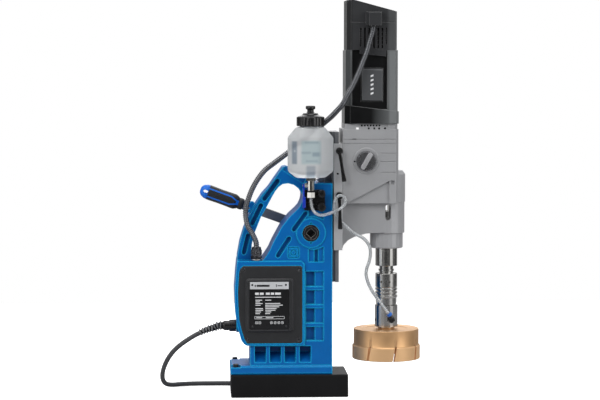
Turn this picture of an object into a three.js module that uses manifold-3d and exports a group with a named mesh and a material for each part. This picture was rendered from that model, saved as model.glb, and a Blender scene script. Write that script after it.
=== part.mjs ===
// Magnetic drill press: electromagnet base, cast frame, rack-fed slide, motor with
// two-stage gear head, spindle, arbor with coolant ring and a large annular cutter.
// Millimetres, +Z up. Origin: centre of the magnet's lower face. +X points to the spindle,
// -Y is the side with the data plate, +Y is the side with the feed lever and the controls.
import * as THREE from 'three';
import { mergeVertices } from 'three/addons/utils/BufferGeometryUtils.js';
import { ConvexGeometry } from 'three/addons/geometries/ConvexGeometry.js';
import Module from 'manifold-3d';

const wasm = await Module();
wasm.setup();

// ------------------------------------------------------------------ driving dimensions
const BASE_L = 220, BASE_W = 110, BASE_H = 42.7;      // magnet block
const FOOT_TOP = 60, COL_TOP = 402, COL_X = 80;        // cast frame
const PX = 39.8, PZ = 309;                             // feed pinion axis (along Y)
const RACK_M = 2, PIN_Z = 15;                          // feed rack and pinion
const SX = 186;                                        // spindle axis (along Z)
const MX = 155;                                        // motor axis (along Z)
const IX = 162.8, IY = 23.5;                           // intermediate gear axis
const GEAR_M = 1.5, Z_ARM = 10, Z_BIG = 23, Z_SMALL = 12, Z_SPIN = 32;
const MOTOR_Z0 = 513.3, CAP_Z0 = 651;                  // motor joint, cap joint
const GY = -41.5;                                      // conduit gland
const BX = 38.3, BY = -62;                             // coolant bottle axis
const VX = 39.2;                                       // valve axis
const LEVER = 20 * Math.PI / 180, LEV_Y = 80;          // feed lever at rest
const CUT_R = 62, CUT_R2 = 64.6, CUT_Z0 = 65.8, CUT_Z1 = 123.7;

// ------------------------------------------------------------------ helpers
const V = (x, y, z) => new THREE.Vector3(x, y, z);
function solid(geo) {
  let g = geo.index ? geo.toNonIndexed() : geo.clone();
  for (const k of Object.keys(g.attributes)) if (k !== 'position') g.deleteAttribute(k);
  g = mergeVertices(g, 2e-4);
  const p = g.attributes.position.array, ix = g.index.array, t = [];
  let vol = 0;
  for (let i = 0; i < ix.length; i += 3) {
    const a = ix[i], b = ix[i + 1], c = ix[i + 2];
    if (a === b || b === c || a === c) continue;
    t.push(a, b, c);
    const A = V(p[3 * a], p[3 * a + 1], p[3 * a + 2]), B = V(p[3 * b], p[3 * b + 1], p[3 * b + 2]), C = V(p[3 * c], p[3 * c + 1], p[3 * c + 2]);
    vol += A.dot(B.cross(C));
  }
  if (vol < 0) for (let i = 0; i < t.length; i += 3) { const s = t[i]; t[i] = t[i + 1]; t[i + 1] = s; }
  return new wasm.Manifold(new wasm.Mesh({ numProp: 3, vertProperties: new Float32Array(p), triVerts: new Uint32Array(t) }));
}
const basis = (ex, ey, ez, o) => new THREE.Matrix4().makeBasis(ex, ey, ez).setPosition(o);
const toShape = (pts) => new THREE.Shape(pts.map(([a, b]) => new THREE.Vector2(a, b)));
function extr(pts, d, m, bevel = 0, bevelBottom = true) {
  const o = { depth: bevel ? d - 2 * bevel : d, bevelEnabled: bevel > 0, bevelThickness: bevel, bevelSize: bevel, bevelOffset: -bevel, bevelSegments: 1, steps: 1, curveSegments: 8 };
  const g = new THREE.ExtrudeGeometry(toShape(pts), o);
  if (bevel) g.translate(0, 0, bevel);
  g.applyMatrix4(m);
  return solid(g);
}
// profile in XZ, extruded along Y from y0 to y1 (and the same for the other two planes)
const prismY = (pts, y0, y1, b = 0) => extr(pts, y1 - y0, basis(V(1, 0, 0), V(0, 0, 1), V(0, -1, 0), V(0, y1, 0)), b);
const prismZ = (pts, z0, z1, b = 0) => extr(pts, z1 - z0, basis(V(1, 0, 0), V(0, 1, 0), V(0, 0, 1), V(0, 0, z0)), b);
const prismX = (pts, x0, x1, b = 0) => extr(pts, x1 - x0, basis(V(0, 1, 0), V(0, 0, 1), V(1, 0, 0), V(x0, 0, 0)), b);
const box = (x0, x1, y0, y1, z0, z1) => {
  const g = new THREE.BoxGeometry(x1 - x0, y1 - y0, z1 - z0);
  g.translate((x0 + x1) / 2, (y0 + y1) / 2, (z0 + z1) / 2);
  return solid(g);
};
const rectPts = (x0, x1, z0, z1) => [[x0, z0], [x1, z0], [x1, z1], [x0, z1]];
function roundRect(x0, x1, z0, z1, r, n = 3) {
  const out = [];
  for (const [cx, cz, a0] of [[x1 - r, z0 + r, -90], [x1 - r, z1 - r, 0], [x0 + r, z1 - r, 90], [x0 + r, z0 + r, 180]])
    for (let i = 0; i <= n; i++) { const a = (a0 + 90 * i / n) * Math.PI / 180; out.push([cx + r * Math.cos(a), cz + r * Math.sin(a)]); }
  return out;
}
function stadium(ax, az, bx, bz, r, n = 5) {
  const a0 = Math.atan2(bz - az, bx - ax), out = [];
  for (let i = 0; i <= n; i++) { const a = a0 - Math.PI / 2 + Math.PI * i / n; out.push([bx + r * Math.cos(a), bz + r * Math.sin(a)]); }
  for (let i = 0; i <= n; i++) { const a = a0 + Math.PI / 2 + Math.PI * i / n; out.push([ax + r * Math.cos(a), az + r * Math.sin(a)]); }
  return out;
}
const ngon = (cx, cz, r, n, ph = 0) => Array.from({ length: n }, (_, i) => [cx + r * Math.cos(ph + 2 * Math.PI * i / n), cz + r * Math.sin(ph + 2 * Math.PI * i / n)]);
const cylY = (cx, cz, r, y0, y1, n = 16, ph = 0) => prismY(ngon(cx, cz, r, n, ph), y0, y1);
const cylZ = (cx, cy, r, z0, z1, n = 16, ph = 0) => prismZ(ngon(cx, cy, r, n, ph), z0, z1);
const cylX = (cy, cz, r, x0, x1, n = 16, ph = 0) => prismX(ngon(cy, cz, r, n, ph), x0, x1);
// closed [radius, height] profile revolved about an axis
function revolve(prof, m, n = 20) {
  const pts = prof.map(([r, z]) => new THREE.Vector2(r, z));
  const f = prof[0], l = prof[prof.length - 1];
  if (!(f[0] === 0 && l[0] === 0)) pts.push(pts[0].clone());
  const g = new THREE.LatheGeometry(pts, n);
  g.applyMatrix4(m);
  return solid(g);
}
const revZ = (prof, cx, cy, n = 20) => revolve(prof, basis(V(1, 0, 0), V(0, 0, 1), V(0, -1, 0), V(cx, cy, 0)), n);
const revY = (prof, cx, cz, n = 20) => revolve(prof, basis(V(1, 0, 0), V(0, 1, 0), V(0, 0, 1), V(cx, 0, cz)), n);
const revX = (prof, cy, cz, n = 20) => revolve(prof, basis(V(0, 1, 0), V(1, 0, 0), V(0, 0, -1), V(0, cy, cz)), n);
function revDir(prof, o, dir, n = 16) {
  const q = new THREE.Quaternion().setFromUnitVectors(V(0, 1, 0), dir.clone().normalize());
  return revolve(prof, new THREE.Matrix4().compose(o, q, V(1, 1, 1)), n);
}
const hull = (pts) => solid(new ConvexGeometry(pts.map((p) => V(...p))));
function sweep(pts, r, sides, steps) {
  const c = new THREE.CatmullRomCurve3(pts.map((p) => V(...p)), false, 'centripetal');
  return solid(new THREE.ExtrudeGeometry(toShape(ngon(0, 0, r, sides)), { steps, bevelEnabled: false, extrudePath: c }));
}
const join = (...s) => s.flat().reduce((a, b) => a.add(b));
const cut = (a, ...s) => s.flat().reduce((u, b) => u.subtract(b), a);

// involute tooth outline, stub addendum, thinned flanks for backlash
function gearPts(z, m, phase, cx = 0, cy = 0, thin = 0.11, fine = z < 20) {
  const rp = m * z / 2, ra = rp + 0.8 * m, rf = rp - 1.12 * m, al = 20 * Math.PI / 180, rb = rp * Math.cos(al);
  const inv = (a) => Math.tan(a) - a;
  const half = (r) => Math.PI / (2 * z) - thin / rp + inv(al) - (r > rb ? inv(Math.acos(rb / r)) : 0);
  const radii = fine ? [rf, rp, ra] : [rf, ra], out = [];
  for (let i = 0; i < z; i++) {
    const c = phase + 2 * Math.PI * i / z;
    for (const r of radii) out.push([cx + r * Math.cos(c - half(r)), cy + r * Math.sin(c - half(r))]);
    for (const r of [...radii].reverse()) out.push([cx + r * Math.cos(c + half(r)), cy + r * Math.sin(c + half(r))]);
  }
  return out;
}

// ------------------------------------------------------------------ scene graph
const mat = (hex, roughness, metalness, opacity = 1) => new THREE.MeshStandardMaterial({ color: hex, roughness, metalness, transparent: opacity < 1, opacity });
const BLUE = mat(0x0b6fb8, 0.42, 0.1), BLACK = mat(0x1b1b1c, 0.6, 0.0), MAGNET = mat(0x1d1d1e, 0.65, 0.3), GREY = mat(0x8d8e90, 0.45, 0.25),
  LIGHT = mat(0x9c9da0, 0.4, 0.3), STEEL = mat(0x8a8c8f, 0.3, 0.9), DARK = mat(0x3b3c3f, 0.45, 0.6), GOLD = mat(0xc1935f, 0.35, 0.8),
  COPPER = mat(0xb0693a, 0.4, 0.8), CLEAR = mat(0xe8eef0, 0.15, 0.0, 0.35), MILK = mat(0xdfe6e8, 0.3, 0.0, 0.5), BOARD = mat(0x1f5a3a, 0.5, 0.1),
  RED = mat(0xb4231f, 0.4, 0.0), GREEN = mat(0x1f8a3c, 0.4, 0.0), NICKEL = mat(0xb9bbbd, 0.2, 1.0), CORD_M = mat(0x2a2a2b, 0.7, 0.0), CYAN = mat(0x1660c0, 0.4, 0.0),
  RESIN = mat(0x5a2a1c, 0.5, 0.0);

const drill_press = new THREE.Group();
const G = {};
function group(name, parent, x, y, z) {
  const g = new THREE.Group();
  const w = parent ? parent.userData.w : [0, 0, 0];
  g.position.set(x - w[0], y - w[1], z - w[2]);
  g.userData.w = [x, y, z];
  (parent || drill_press).add(g);
  G[name] = g;
  return g;
}
group('base', null, 0, 0, 0);
group('slide', G.base, 86, 0, 357);
group('drill', G.slide, MX, 0, 440);
group('spin', G.drill, SX, 0, 427);
function put(name, s, material, g = 'base', at = null) {
  const mesh = s.getMesh(), n = mesh.numProp, a = at || G[g].userData.w, w = G[g].userData.w;
  const src = mesh.vertProperties, pos = new Float32Array(src.length / n * 3);
  for (let i = 0; i < src.length / n; i++) for (let k = 0; k < 3; k++) pos[3 * i + k] = src[n * i + k] - a[k];
  const geo = new THREE.BufferGeometry();
  geo.setAttribute('position', new THREE.BufferAttribute(pos, 3));
  geo.setIndex(new THREE.BufferAttribute(new Uint32Array(mesh.triVerts), 1));
  geo.computeVertexNormals();
  const o = new THREE.Mesh(geo, material);
  o.name = name;
  o.position.set(a[0] - w[0], a[1] - w[1], a[2] - w[2]);
  G[g].add(o);
  return o;
}

// ------------------------------------------------------------------ electromagnet base
{
  const c = 1.6, X = BASE_L / 2, Y = BASE_W / 2, H = BASE_H, p = [];
  for (const sx of [-1, 1]) for (const sy of [-1, 1])
    p.push([sx * (X - c), sy * Y, c], [sx * X, sy * (Y - c), c], [sx * (X - c), sy * (Y - c), 0],
      [sx * (X - c), sy * Y, H - c], [sx * X, sy * (Y - c), H - c], [sx * (X - c), sy * (Y - c), H]);
  const groove = cut(box(-95, 95, -41, 41, -1, 33), box(-62, 62, -15, 15, -2, 34));
  put('magnet_block', cut(hull(p), groove, cylZ(-101, -46, 3.4, 28, 44, 10), cylZ(-101, 46, 3.4, 28, 44, 10)), MAGNET);
  const ring = (z0, z1) => cut(prismZ(roundRect(-94.6, 94.6, -40.6, 40.6, 3, 2), z0, z1), box(-62.4, 62.4, -15.4, 15.4, z0 - 1, z1 + 1));
  put('magnet_coil', ring(6, 32.6), COPPER);
  put('magnet_potting', ring(0.25, 5.6), RESIN);
}

// ------------------------------------------------------------------ cast frame
{
  const p = [];
  for (const [y, s] of [[-54.5, 1], [54.5, -1]])
    p.push([-111, y + 2.5 * s, 43.05], [COL_X, y + 2.5 * s, 43.05], [-111, y, 46], [COL_X, y, 46], [-111, y, FOOT_TOP - 2.5], [COL_X, y, FOOT_TOP - 2.5], [-108.5, y + 2.5 * s, FOOT_TOP], [COL_X, y + 2.5 * s, FOOT_TOP], [-111, y + 2.5 * s, FOOT_TOP - 2.5]);
  const foot = hull(p);
  const col = prismY([[-74, 50], [COL_X, 50], [COL_X, COL_TOP], [31, COL_TOP], [25, 388], [24.7, 375], [23.4, 367.5], [19.6, 359], [13, 351.5], [1, 340.5], [-13.7, 322], [-21, 309], [-29.6, 293], [-37, 277], [-44, 266], [-50, 258], [-74, 250]], -50, 50);
  const case_ = prismY([[27.5, 98], [27.5, 251], [21.5, 257], [-97.9, 257], [-100.2, 235], [-102.8, 200], [-101.3, 157], [-99.9, 144], [-96.5, 128], [-90.7, 108], [-85.6, 101], [-80, 98]], -54, 54);
  const limb = prismY([[-60, 250], [-97.2, 250], [-97.5, 264], [-92.6, 291], [-85.4, 315], [-75.8, 339], [-63.7, 361], [-50.3, 381], [-38.3, 394], [-26.8, 411], [-12, 431.5], [-6, 433.5], [-1, 431.5], [40, 404], [40, 380], [25.6, 378], [22.6, 384.5], [17.6, 391.5], [9, 398.2], [-2, 401.2], [-12.5, 399.6], [-19.5, 394.5], [-26, 386.5], [-32.6, 375], [-44, 353.5], [-53, 338], [-61, 318], [-66, 306], [-70, 287], [-71.5, 272], [-66, 262], [-58, 256.5], [-56, 250]], -30, 30);
  const seatN = prismY([[20.8, 102.3], [23.8, 105.3], [23.8, 245], [20.8, 248], [-87, 248], [-92.5, 243], [-94.7, 235], [-97, 200], [-95.6, 158], [-94.2, 145], [-90.8, 130], [-85.5, 112], [-80, 102.3]], -60, -51);
  const seatF = prismY([[20.8, 102.3], [23.8, 105.3], [23.8, 245], [20.8, 248], [-87, 248], [-92.5, 243], [-94.7, 235], [-97, 200], [-95.6, 158], [-94.2, 145], [-90.8, 130], [-85.5, 112], [-80, 102.3]], 51, 60);
  const room = (y0, y1) => prismY([[-72, 109], [8, 109], [8, 118], [15, 118], [15, 232], [8, 232], [8, 241], [-78, 241], [-78, 232], [-87, 232], [-89, 200], [-88, 160], [-85, 140], [-80, 119], [-72, 119]], y0, y1);
  let f = join(foot, col, case_, limb, cylX(0, 130, 13, -99, -88, 20));
  f = f.add(prismY(ngon(PX, PZ, 27.6, 28), -52, 52));
  // deep ribbed pockets above the foot, sloped floors
  for (const x of [-65.6, -37.3, -9.6, 18.7]) for (const s of [-1, 1])
    f = f.subtract(hull([[x, s * 56, 65.5], [x + 21, s * 56, 65.5], [x, s * 49.8, 65.5], [x + 21, s * 49.8, 65.5], [x, s * 56, 96.3], [x + 21, s * 56, 96.3], [x, s * 26, 96.3], [x + 21, s * 26, 96.3], [x, s * 26, 83], [x + 21, s * 26, 83]]));
  // stepped side cells of the column, both sides
  for (const s of [-1, 1]) {
    const side = (pts, d) => (s < 0 ? prismY(pts, -53, -50 + d) : prismY(pts, 50 - d, 53));
    for (const [z0, z1] of [[208.5, 237], [174.5, 201.5], [139.5, 167.5], [106.5, 132.5]]) {
      f = f.subtract(side(rectPts(29.5, 63.5, z0, z1), 3.2));
      if (s < 0) f = f.subtract(side(rectPts(30.5, 47, z0 + 1, z1 - 0.5), 10));
    }
    if (s < 0) f = f.subtract(side(roundRect(29.5, 63.5, 106.5, 237, 2.5, 1), 1.4));
    f = f.subtract(side([[35.5, 255], [63.5, 255], [63.5, 283], [57, 281], [45, 277.5], [35.5, 279]], 2.6));
    if (s < 0) f = f.subtract(side([[46.5, 255], [53.5, 255], [53.5, 278.5], [46.5, 277]], 7));
    f = f.subtract(side([[35.5, 339.5], [45, 340.5], [57, 337], [63.5, 334], [63.5, 356], [35.5, 356]], 2.6));
    // grooves beside the diagonal web and the small square mark with a ring
    f = f.subtract(side(stadium(30, 346, 8, 316, 4.2, 3), 6));
    f = f.subtract(side(stadium(-1, 299, -22, 267, 4.2, 3), 6));
    if (s < 0) {
      f = f.subtract(cut(side(roundRect(-3.6, 18, 262, 283, 2, 1), 1.2), side(roundRect(-1.8, 16.2, 263.8, 281.2, 2, 1), 3)));
      f = f.subtract(cut(side(ngon(7.2, 272.5, 6, 12), 1.2), side(ngon(7.2, 272.5, 3.8, 12), 3)));
    }
    // three slots down the strap handle
    const limbSide = (pts, d) => (s < 0 ? prismY(pts, -33, -30 + d) : prismY(pts, 30 - d, 33));
    f = f.subtract(limbSide(stadium(-21.5, 406, -46.5, 372.5, 4.4, 3), 8));
    f = f.subtract(limbSide(stadium(-53, 360, -69.5, 326, 4.4, 3), 8));
    f = f.subtract(limbSide(stadium(-77, 303.5, -85, 271, 4.2, 3), 8));
    // bright chamfer along the strap's top bar, with two pockets
    const e = [-4, 433.5], d = [0.832, -0.555], nn = [0.555, 0.832], P = (a, q, t) => [e[0] + d[0] * a + nn[0] * q, s * (30 + t), e[1] + d[1] * a + nn[1] * q];
    f = f.subtract(hull([P(-3, -13, 2), P(44, -13, 2), P(-3, 3, 2), P(44, 3, 2), P(-3, 3, -13), P(44, 3, -13)]));
    if (s < 0) f = f.subtract(hull([P(7, -8, 2), P(15, -8, 2), P(7, 4, 2), P(15, 4, 2), P(7, 4, -16), P(15, 4, -16), P(7, -8, -14), P(15, -8, -14)]));
    if (s < 0) f = f.subtract(hull([P(21, -8, 2), P(31, -8, 2), P(21, 4, 2), P(31, 4, 2), P(21, 4, -16), P(31, 4, -16), P(21, -8, -14), P(31, -8, -14)]));
    // spot faces for the two base bolts
    f = f.subtract(box(-113, -92, s < 0 ? -57 : 38.5, s < 0 ? -38.5 : 57, 57, 63));
    f = f.subtract(cylZ(-101, s * 46, 3.4, 40, 62, 10));
  }
  f = cut(f, seatN, seatF, room(-52, -6), room(20, 52));
  // dovetail way, gib room, rack slot and pinion bores
  f = f.subtract(prismZ([[82, -21.4], [82, 25.8], [80, 27], [66, 35], [66, -30.6], [80, -22.6]], 96, 410));
  f = f.subtract(box(51.3, 67, -11.4, 11.4, 96, 410));
  f = f.subtract(cylY(PX, PZ, 18.6, -11.6, 11.6, 20));
  f = f.subtract(cylY(PX, PZ, 16, -60, -10, 24));
  f = f.subtract(cylY(PX, PZ, 17.7, 10, 60, 20));
  for (const dz of [-18.6, 18.6]) f = f.subtract(cylY(PX, PZ + dz, 1.6, -55, -46, 8));
  // cover screw holes and cord entry
  for (const [x, z] of [[-86.2, 241.5], [17.2, 241.5], [-79.7, 109], [17.2, 109]]) f = f.subtract(cylY(x, z, 1.9, -52, -38, 8));
  f = f.subtract(cylX(0, 130, 5.2, -100, -82, 12));
  f = f.subtract(cylZ(-62, GY, 5.2, 236, 262, 12));
  // strap lug
  f = f.add(prismY(stadium(-69, 361, -77, 349, 5.2, 4), -4, 4));
  f = f.subtract(cylY(-75.5, 352.5, 2.3, -8, 8, 10));
  put('frame_casting', f, BLUE, 'base', [0, 0, 200]);
}
for (const [n, y] of [['base_bolt_near', -46], ['base_bolt_far', 46]])
  put(n, cut(revZ([[0, 30], [2.6, 30], [3, 30.6], [3, 57.3], [5.2, 57.3], [5.2, 62.4], [4.6, 63], [0, 63]], -101, y, 14), cylZ(-101, y, 2.6, 60, 64, 6)), STEEL, 'base', [-101, y, 57]);

// ------------------------------------------------------------------ electrics compartment
{
  const outline = [[20.4, 102.7], [23.4, 105.7], [23.4, 244.6], [20.4, 247.6], [-86.8, 247.6], [-92.1, 242.8], [-94.3, 235], [-96.6, 200], [-95.2, 158], [-93.8, 145], [-90.4, 130], [-85.2, 112.2], [-79.8, 102.7]];
  let c = prismY(outline, -54.9, -51.3, 1);
  c = c.add(prismY(roundRect(-82.5, 7.5, 124, 224.5, 7, 3), -59.4, -52, 2.6));
  c = c.subtract(prismY(roundRect(-76.2, -0.6, 128.6, 220.8, 3, 2), -62, -57.6));
  c = c.subtract(prismY(roundRect(-74, -3, 133, 216, 3, 1), -55.2, -50));
  for (const [x, z] of [[-86.2, 241.5], [17.2, 241.5], [-79.7, 109], [17.2, 109]]) c = cut(c, cylY(x, z, 2, -60, -49, 8), cylY(x, z, 3.7, -60, -53.2, 12));
  put('side_cover', c, BLACK, 'base', [-37, -54, 175]);
  put('data_plate', prismY(roundRect(-75.4, -1.4, 129.4, 220, 2.5, 2), -59, -57.9), BLACK, 'base', [-37, -58.4, 175]);
  let i = 0;
  for (const [x, z] of [[-86.2, 241.5], [17.2, 241.5], [-79.7, 109], [17.2, 109]])
    put('cover_screw_' + (++i), cut(revY([[0, -54.9], [3.3, -54.9], [3.3, -53.5], [1.5, -53.5], [1.5, -40.2], [0, -40.2]], x, z, 8), cylY(x, z, 1.6, -57, -54, 6)), DARK, 'base', [x, -53, z]);
  let b = box(-78, 10, -14, -11.8, 121, 229);
  b = join(b, box(-70, -34, -40, -13, 180, 216), cylY(-14, 200, 13, -42, -13, 14), cylY(-60, 150, 8, -34, -13, 12), cylY(-40, 150, 8, -34, -13, 12), box(-22, 4, -32, -13, 130, 165), box(-76, -48, -24, -13, 124, 134));
  put('control_board', b, BOARD, 'base', [-34, -13, 175]);
  // far-side control panel with its switches
  let p = prismY(outline.map(([x, z]) => [x, z]), 51.3, 56.6, 1);
  p = cut(p, box(-78, -48, 50, 60, 186, 226), cylY(-25, 206, 10.4, 50, 60, 20), cylY(4, 206, 10.4, 50, 60, 20), cylY(-30, 150, 4.6, 50, 60, 14));
  put('control_panel', p, BLACK, 'base', [-37, 54, 175]);
  let r = prismX([[47.5, 187.5], [58.2, 189], [60.6, 206], [58.2, 223], [47.5, 224.5]], -76.5, -49.5);
  put('magnet_switch', r, RED, 'base', [-63, 50, 206]);
  const btn = (x, m, n) => put(n, revY([[0, 44], [4, 44], [4, 50.9], [9.9, 50.9], [9.9, 61.2], [0, 61.2]], x, 206, 16), m, 'base', [x, 50.9, 206]);
  btn(-25, GREEN, 'start_button');
  btn(4, RED, 'stop_button');
  put('speed_knob', join(revY([[0, 40], [4.1, 40], [4.1, 57], [14, 57], [14, 63.6], [0, 63.6]], -30, 150, 16), box(-32, -28, 60, 66, 139, 161)), BLACK, 'base', [-30, 57, 150]);
}
// conduit gland and cord gland
put('conduit_gland', cut(join(cylZ(-62, GY, 9.2, 257.3, 264, 6, 0.3), revZ([[0, 262], [10.3, 262], [10.3, 276.5], [8.8, 278.5], [8.8, 283], [0, 283]], -62, GY, 16)), cylZ(-62, GY, 4, 250, 280, 12)), DARK, 'base', [-62, GY, 257]);
put('cord_gland', revX([[0, -123.4], [8, -123.4], [9.4, -121.5], [9.4, -112.5], [11.4, -112], [11.4, -99.4], [0, -99.4]], 0, 130, 20), BLACK, 'base', [-111, 0, 130]);

// ------------------------------------------------------------------ mains cord
const BOOT = [[-124.5, 0, 130], [-133, 0, 129.2], [-142, 0, 126], [-152, 0, 123.2], [-161, 0, 119.8], [-169, 0, 115.8]];
const CORD = [[-169.4, 0, 115.6], [-178, 0.2, 111.2], [-187, 0.8, 105.8], [-196, 2, 99.8], [-204.8, 4, 93.2], [-213, 7, 85.8], [-221, 11, 76.8], [-228, 16, 66.4], [-234, 22.5, 54.5], [-238.5, 31, 41.5],
  [-240.5, 41.5, 29], [-239, 54, 17.5], [-233, 68, 9], [-222, 80, 5.2], [-207, 88.5, 4.8], [-190, 93.5, 4.8], [-171, 96, 4.8], [-150, 96.5, 4.8], [-128, 96, 4.8], [-106, 95, 4.8], [-85, 94, 4.8], [-68, 93.6, 4.8]];
put('cord_boot', sweep(BOOT, 8.7, 10, 5), BLACK, 'base', [-124, 0, 129]);
put('mains_cord', sweep(CORD, 4.5, 8, 27), CORD_M, 'base', [-170, 0, 115]);
const COIL = [-30, 160];
put('cord_coil', revZ([[39, 0.3], [66.5, 0.3], [66.5, 18.6], [39, 18.6]], COIL[0], COIL[1], 28), CORD_M, 'base', [COIL[0], COIL[1], 0]);
put('mains_plug', join(revX([[0, 6], [4.8, 6], [6.8, 26], [11, 30], [11, 38], [17.5, 44], [18.3, 48], [18.3, 64], [0, 64]], 97.6, 18.6, 20), cylX(88.1, 18.6, 2.4, 62, 83, 10), cylX(107.1, 18.6, 2.4, 62, 83, 10)), BLACK, 'base', [64, 97.6, 18.6]);

// ------------------------------------------------------------------ feed pinion, bushes and lever
{
  let s = join(prismY(gearPts(PIN_Z, RACK_M, 0, PX, PZ), -10, 10), cylY(PX, PZ, 12.5, -52.4, -9, 24), cylY(PX, PZ, 12.5, 9, 84.6, 24));
  s = s.subtract(cylY(PX, PZ, 9.2, -54, -34, 4));
  put('pinion_shaft', s, DARK, 'base', [PX, 0, PZ]);
  put('pinion_bush_near', revY([[12.9, -53], [15, -53], [15.6, -52.4], [15.6, -14], [12.9, -14]], PX, PZ, 24), BLACK, 'base', [PX, -30, PZ]);
  put('pinion_bush_far', revY([[12.9, 14], [17.1, 14], [17.1, 52.6], [12.9, 52.6]], PX, PZ, 20), BLACK, 'base', [PX, 30, PZ]);
  const ca = Math.cos(LEVER), sa = Math.sin(LEVER), Q = (r, t) => [PX - r * ca - t * sa, PZ + r * sa - t * ca];
  const poly = (a) => a.map(([r, t]) => Q(r, t));
  let b = join(revY([[0, 54], [19, 54], [20.5, 55.5], [20.5, 84], [18, 88.5], [0, 88.5]], PX, PZ, 28), prismY(poly([[10, -9], [139, -9], [139, 9], [10, 9]]), 76, 84, 0.8), prismY(poly([[135, -6.5], [196, -6.5], [196, 6.5], [135, 6.5]]), 77.5, 82.5));
  b = b.subtract(cylY(PX, PZ, 12.9, 50, 85, 24));
  put('feed_lever_bar', b, DARK, 'base', [PX, LEV_Y, PZ]);
  let g = prismY(poly([[131, -11], [140, -11.5], [148, -14.6], [206, -14.6], [214, -11.5], [219, -5], [219, 5], [214, 11.5], [206, 14.6], [148, 14.6], [140, 11.5], [131, 11]]), 67, 93, 4);
  g = g.subtract(prismY(poly([[125, -6.9], [134, -9.5], [139.5, -9.5], [139.5, -6.9], [196.6, -6.9], [196.6, 6.9], [139.5, 6.9], [139.5, 9.5], [134, 9.5], [125, 6.9]]), 77, 83));
  g = g.subtract(prismY(poly([[125, -9.5], [139.6, -9.5], [139.6, 9.5], [125, 9.5]]), 75.6, 84.4));
  g = g.subtract(cylY(...Q(206.5, 0), 3.4, 60, 99, 12));
  put('feed_lever_grip', g, BLACK, 'base', [Q(175, 0)[0], LEV_Y, Q(175, 0)[1]]);
}

// ------------------------------------------------------------------ slide plate with rack, gib
{
  const z0 = 216, z1 = 498;
  let s = prismZ([[92.7, -42], [92.7, 42], [86, 42], [86, 36], [80.4, 36], [80.4, 22], [66.4, 30], [66.4, 10.5], [57.5, 10.5], [57.5, -10.5], [66.4, -10.5], [66.4, -30], [80.4, -22], [80.4, -36], [86, -36], [86, -42]], z0, z1);
  const pitch = Math.PI * RACK_M, xp = PX + RACK_M * PIN_Z / 2, ht = pitch / 4 - 0.11, tan = Math.tan(20 * Math.PI / 180), add = 0.8 * RACK_M, ded = 1.12 * RACK_M;
  const prof = [[58.5, 240]];
  for (let k = -10; k <= 20; k++) {
    const zc = PZ + pitch * (k + 0.5);
    prof.push([xp + ded, zc - ht - ded * tan], [xp - add, zc - ht + add * tan], [xp - add, zc + ht - add * tan], [xp + ded, zc + ht + ded * tan]);
  }
  prof.push([58.5, PZ + pitch * 21]);
  s = s.add(prismY(prof, -10.5, 10.5));
  put('slide_plate', s, DARK, 'slide', [86, 0, 357]);
  put('gib_strip', prismZ([[79.6, 22.85], [79.6, 26.85], [66.4, 34.4], [66.4, 30.4]], 98, 400), STEEL, 'base', [73, 28, 250]);
}

// ------------------------------------------------------------------ coolant bottle, valve, bracket
{
  let b = join(prismY(roundRect(26, 66, 352, 390.5, 4, 2), -54, -50.4), box(33.6, 50, -70.5, -52, 386.7, 389));
  b = cut(b, cylZ(VX, BY, 5.4, 380, 395, 16), cylY(59, 383, 3.3, -60, -45, 10), cylY(59, 358, 3.3, -60, -45, 10));
  put('bottle_bracket', b, BLACK, 'base', [40, -52, 371]);
  const knob = (z, r) => revY([[0, -51], [0, -66], [r - 1.2, -66], [r, -64.8], [r, -54.4], [3, -54.4], [3, -51]], 59, z, 16);
  put('bracket_knob_upper', knob(383, 7.5), BLACK, 'base', [59, -60, 383]);
  put('bracket_knob_lower', knob(358, 8.3), BLACK, 'base', [59, -60, 358]);
  const sec = (hx, fx, hy, fy, z) => [[-hx, -fy], [-fx, -hy], [fx, -hy], [hx, -fy], [hx, fy], [fx, hy], [-fx, hy], [-hx, fy]].map(([x, y]) => [BX + x, BY + y, z]);
  const body = (t) => hull([...sec(42.2 - t, 21.5, 30 - t, 11, 425 + t / 2), ...sec(42.2 - t, 21.5, 30 - t, 11, 489 - t / 2), ...sec(27 - t, 15, 19 - t, 8, 413.5 + t), ...sec(26 - t, 17, 20 - t, 10, 508 - t)]);
  const neck = cylZ(BX, BY, 19.5, 500, 514, 24);
  put('coolant_bottle', cut(body(0).add(neck), body(2), cylZ(BX, BY, 17.3, 498, 516, 20)), MILK, 'base', [BX, BY, 460]);
  let c = revZ([[20, 509.5], [26, 509.5], [26, 527], [24.6, 528.6], [15.5, 530], [13.8, 533.6], [4, 533.6], [4, 541], [0, 541], [0, 525], [20, 525]], BX, BY, 20);
  put('bottle_cap', c, BLACK, 'base', [BX, BY, 520]);
  put('cap_spout', revZ([[0, 541.6], [4.4, 541.6], [4.4, 534.1], [6.6, 534.1], [6.6, 539.6], [8.9, 541], [8.9, 546.2], [7.8, 547.4], [0, 547.4]], BX, BY, 20), BLACK, 'base', [BX, BY, 540]);
  let v = join(cylZ(VX, BY, 9.4, 407.6, 413.1, 6, 0.2), revZ([[0, 389.3], [7.2, 389.3], [7.2, 408.5], [0, 408.5]], VX, BY, 16), cylZ(VX, BY, 5, 384, 391, 12), cylZ(VX, BY, 8, 376.2, 386.3, 6, 0.5), cylX(BY, 398.5, 4.6, 27.6, 34, 12), cylX(BY, 398.5, 1.9, 23.4, 30, 10));
  v = v.subtract(cylZ(VX, BY, 2, 370, 410, 8));
  put('valve_body', v, NICKEL, 'base', [VX, BY, 398]);
  let l = cut(join(prismX([[BY - 4.4, 358], [BY + 4.4, 358], [BY + 3.6, 402], [BY - 3.6, 402]], 24.2, 27, 0.6), prismX([[BY - 4.2, 357], [BY + 4.2, 357], [BY + 3.8, 378], [BY - 3.8, 378]], 23.4, 29.2, 0.8)), cylX(BY, 398.5, 2.25, 20, 30, 10));
  put('valve_lever', l, CYAN, 'base', [25.6, BY, 398.5]);
}

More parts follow.
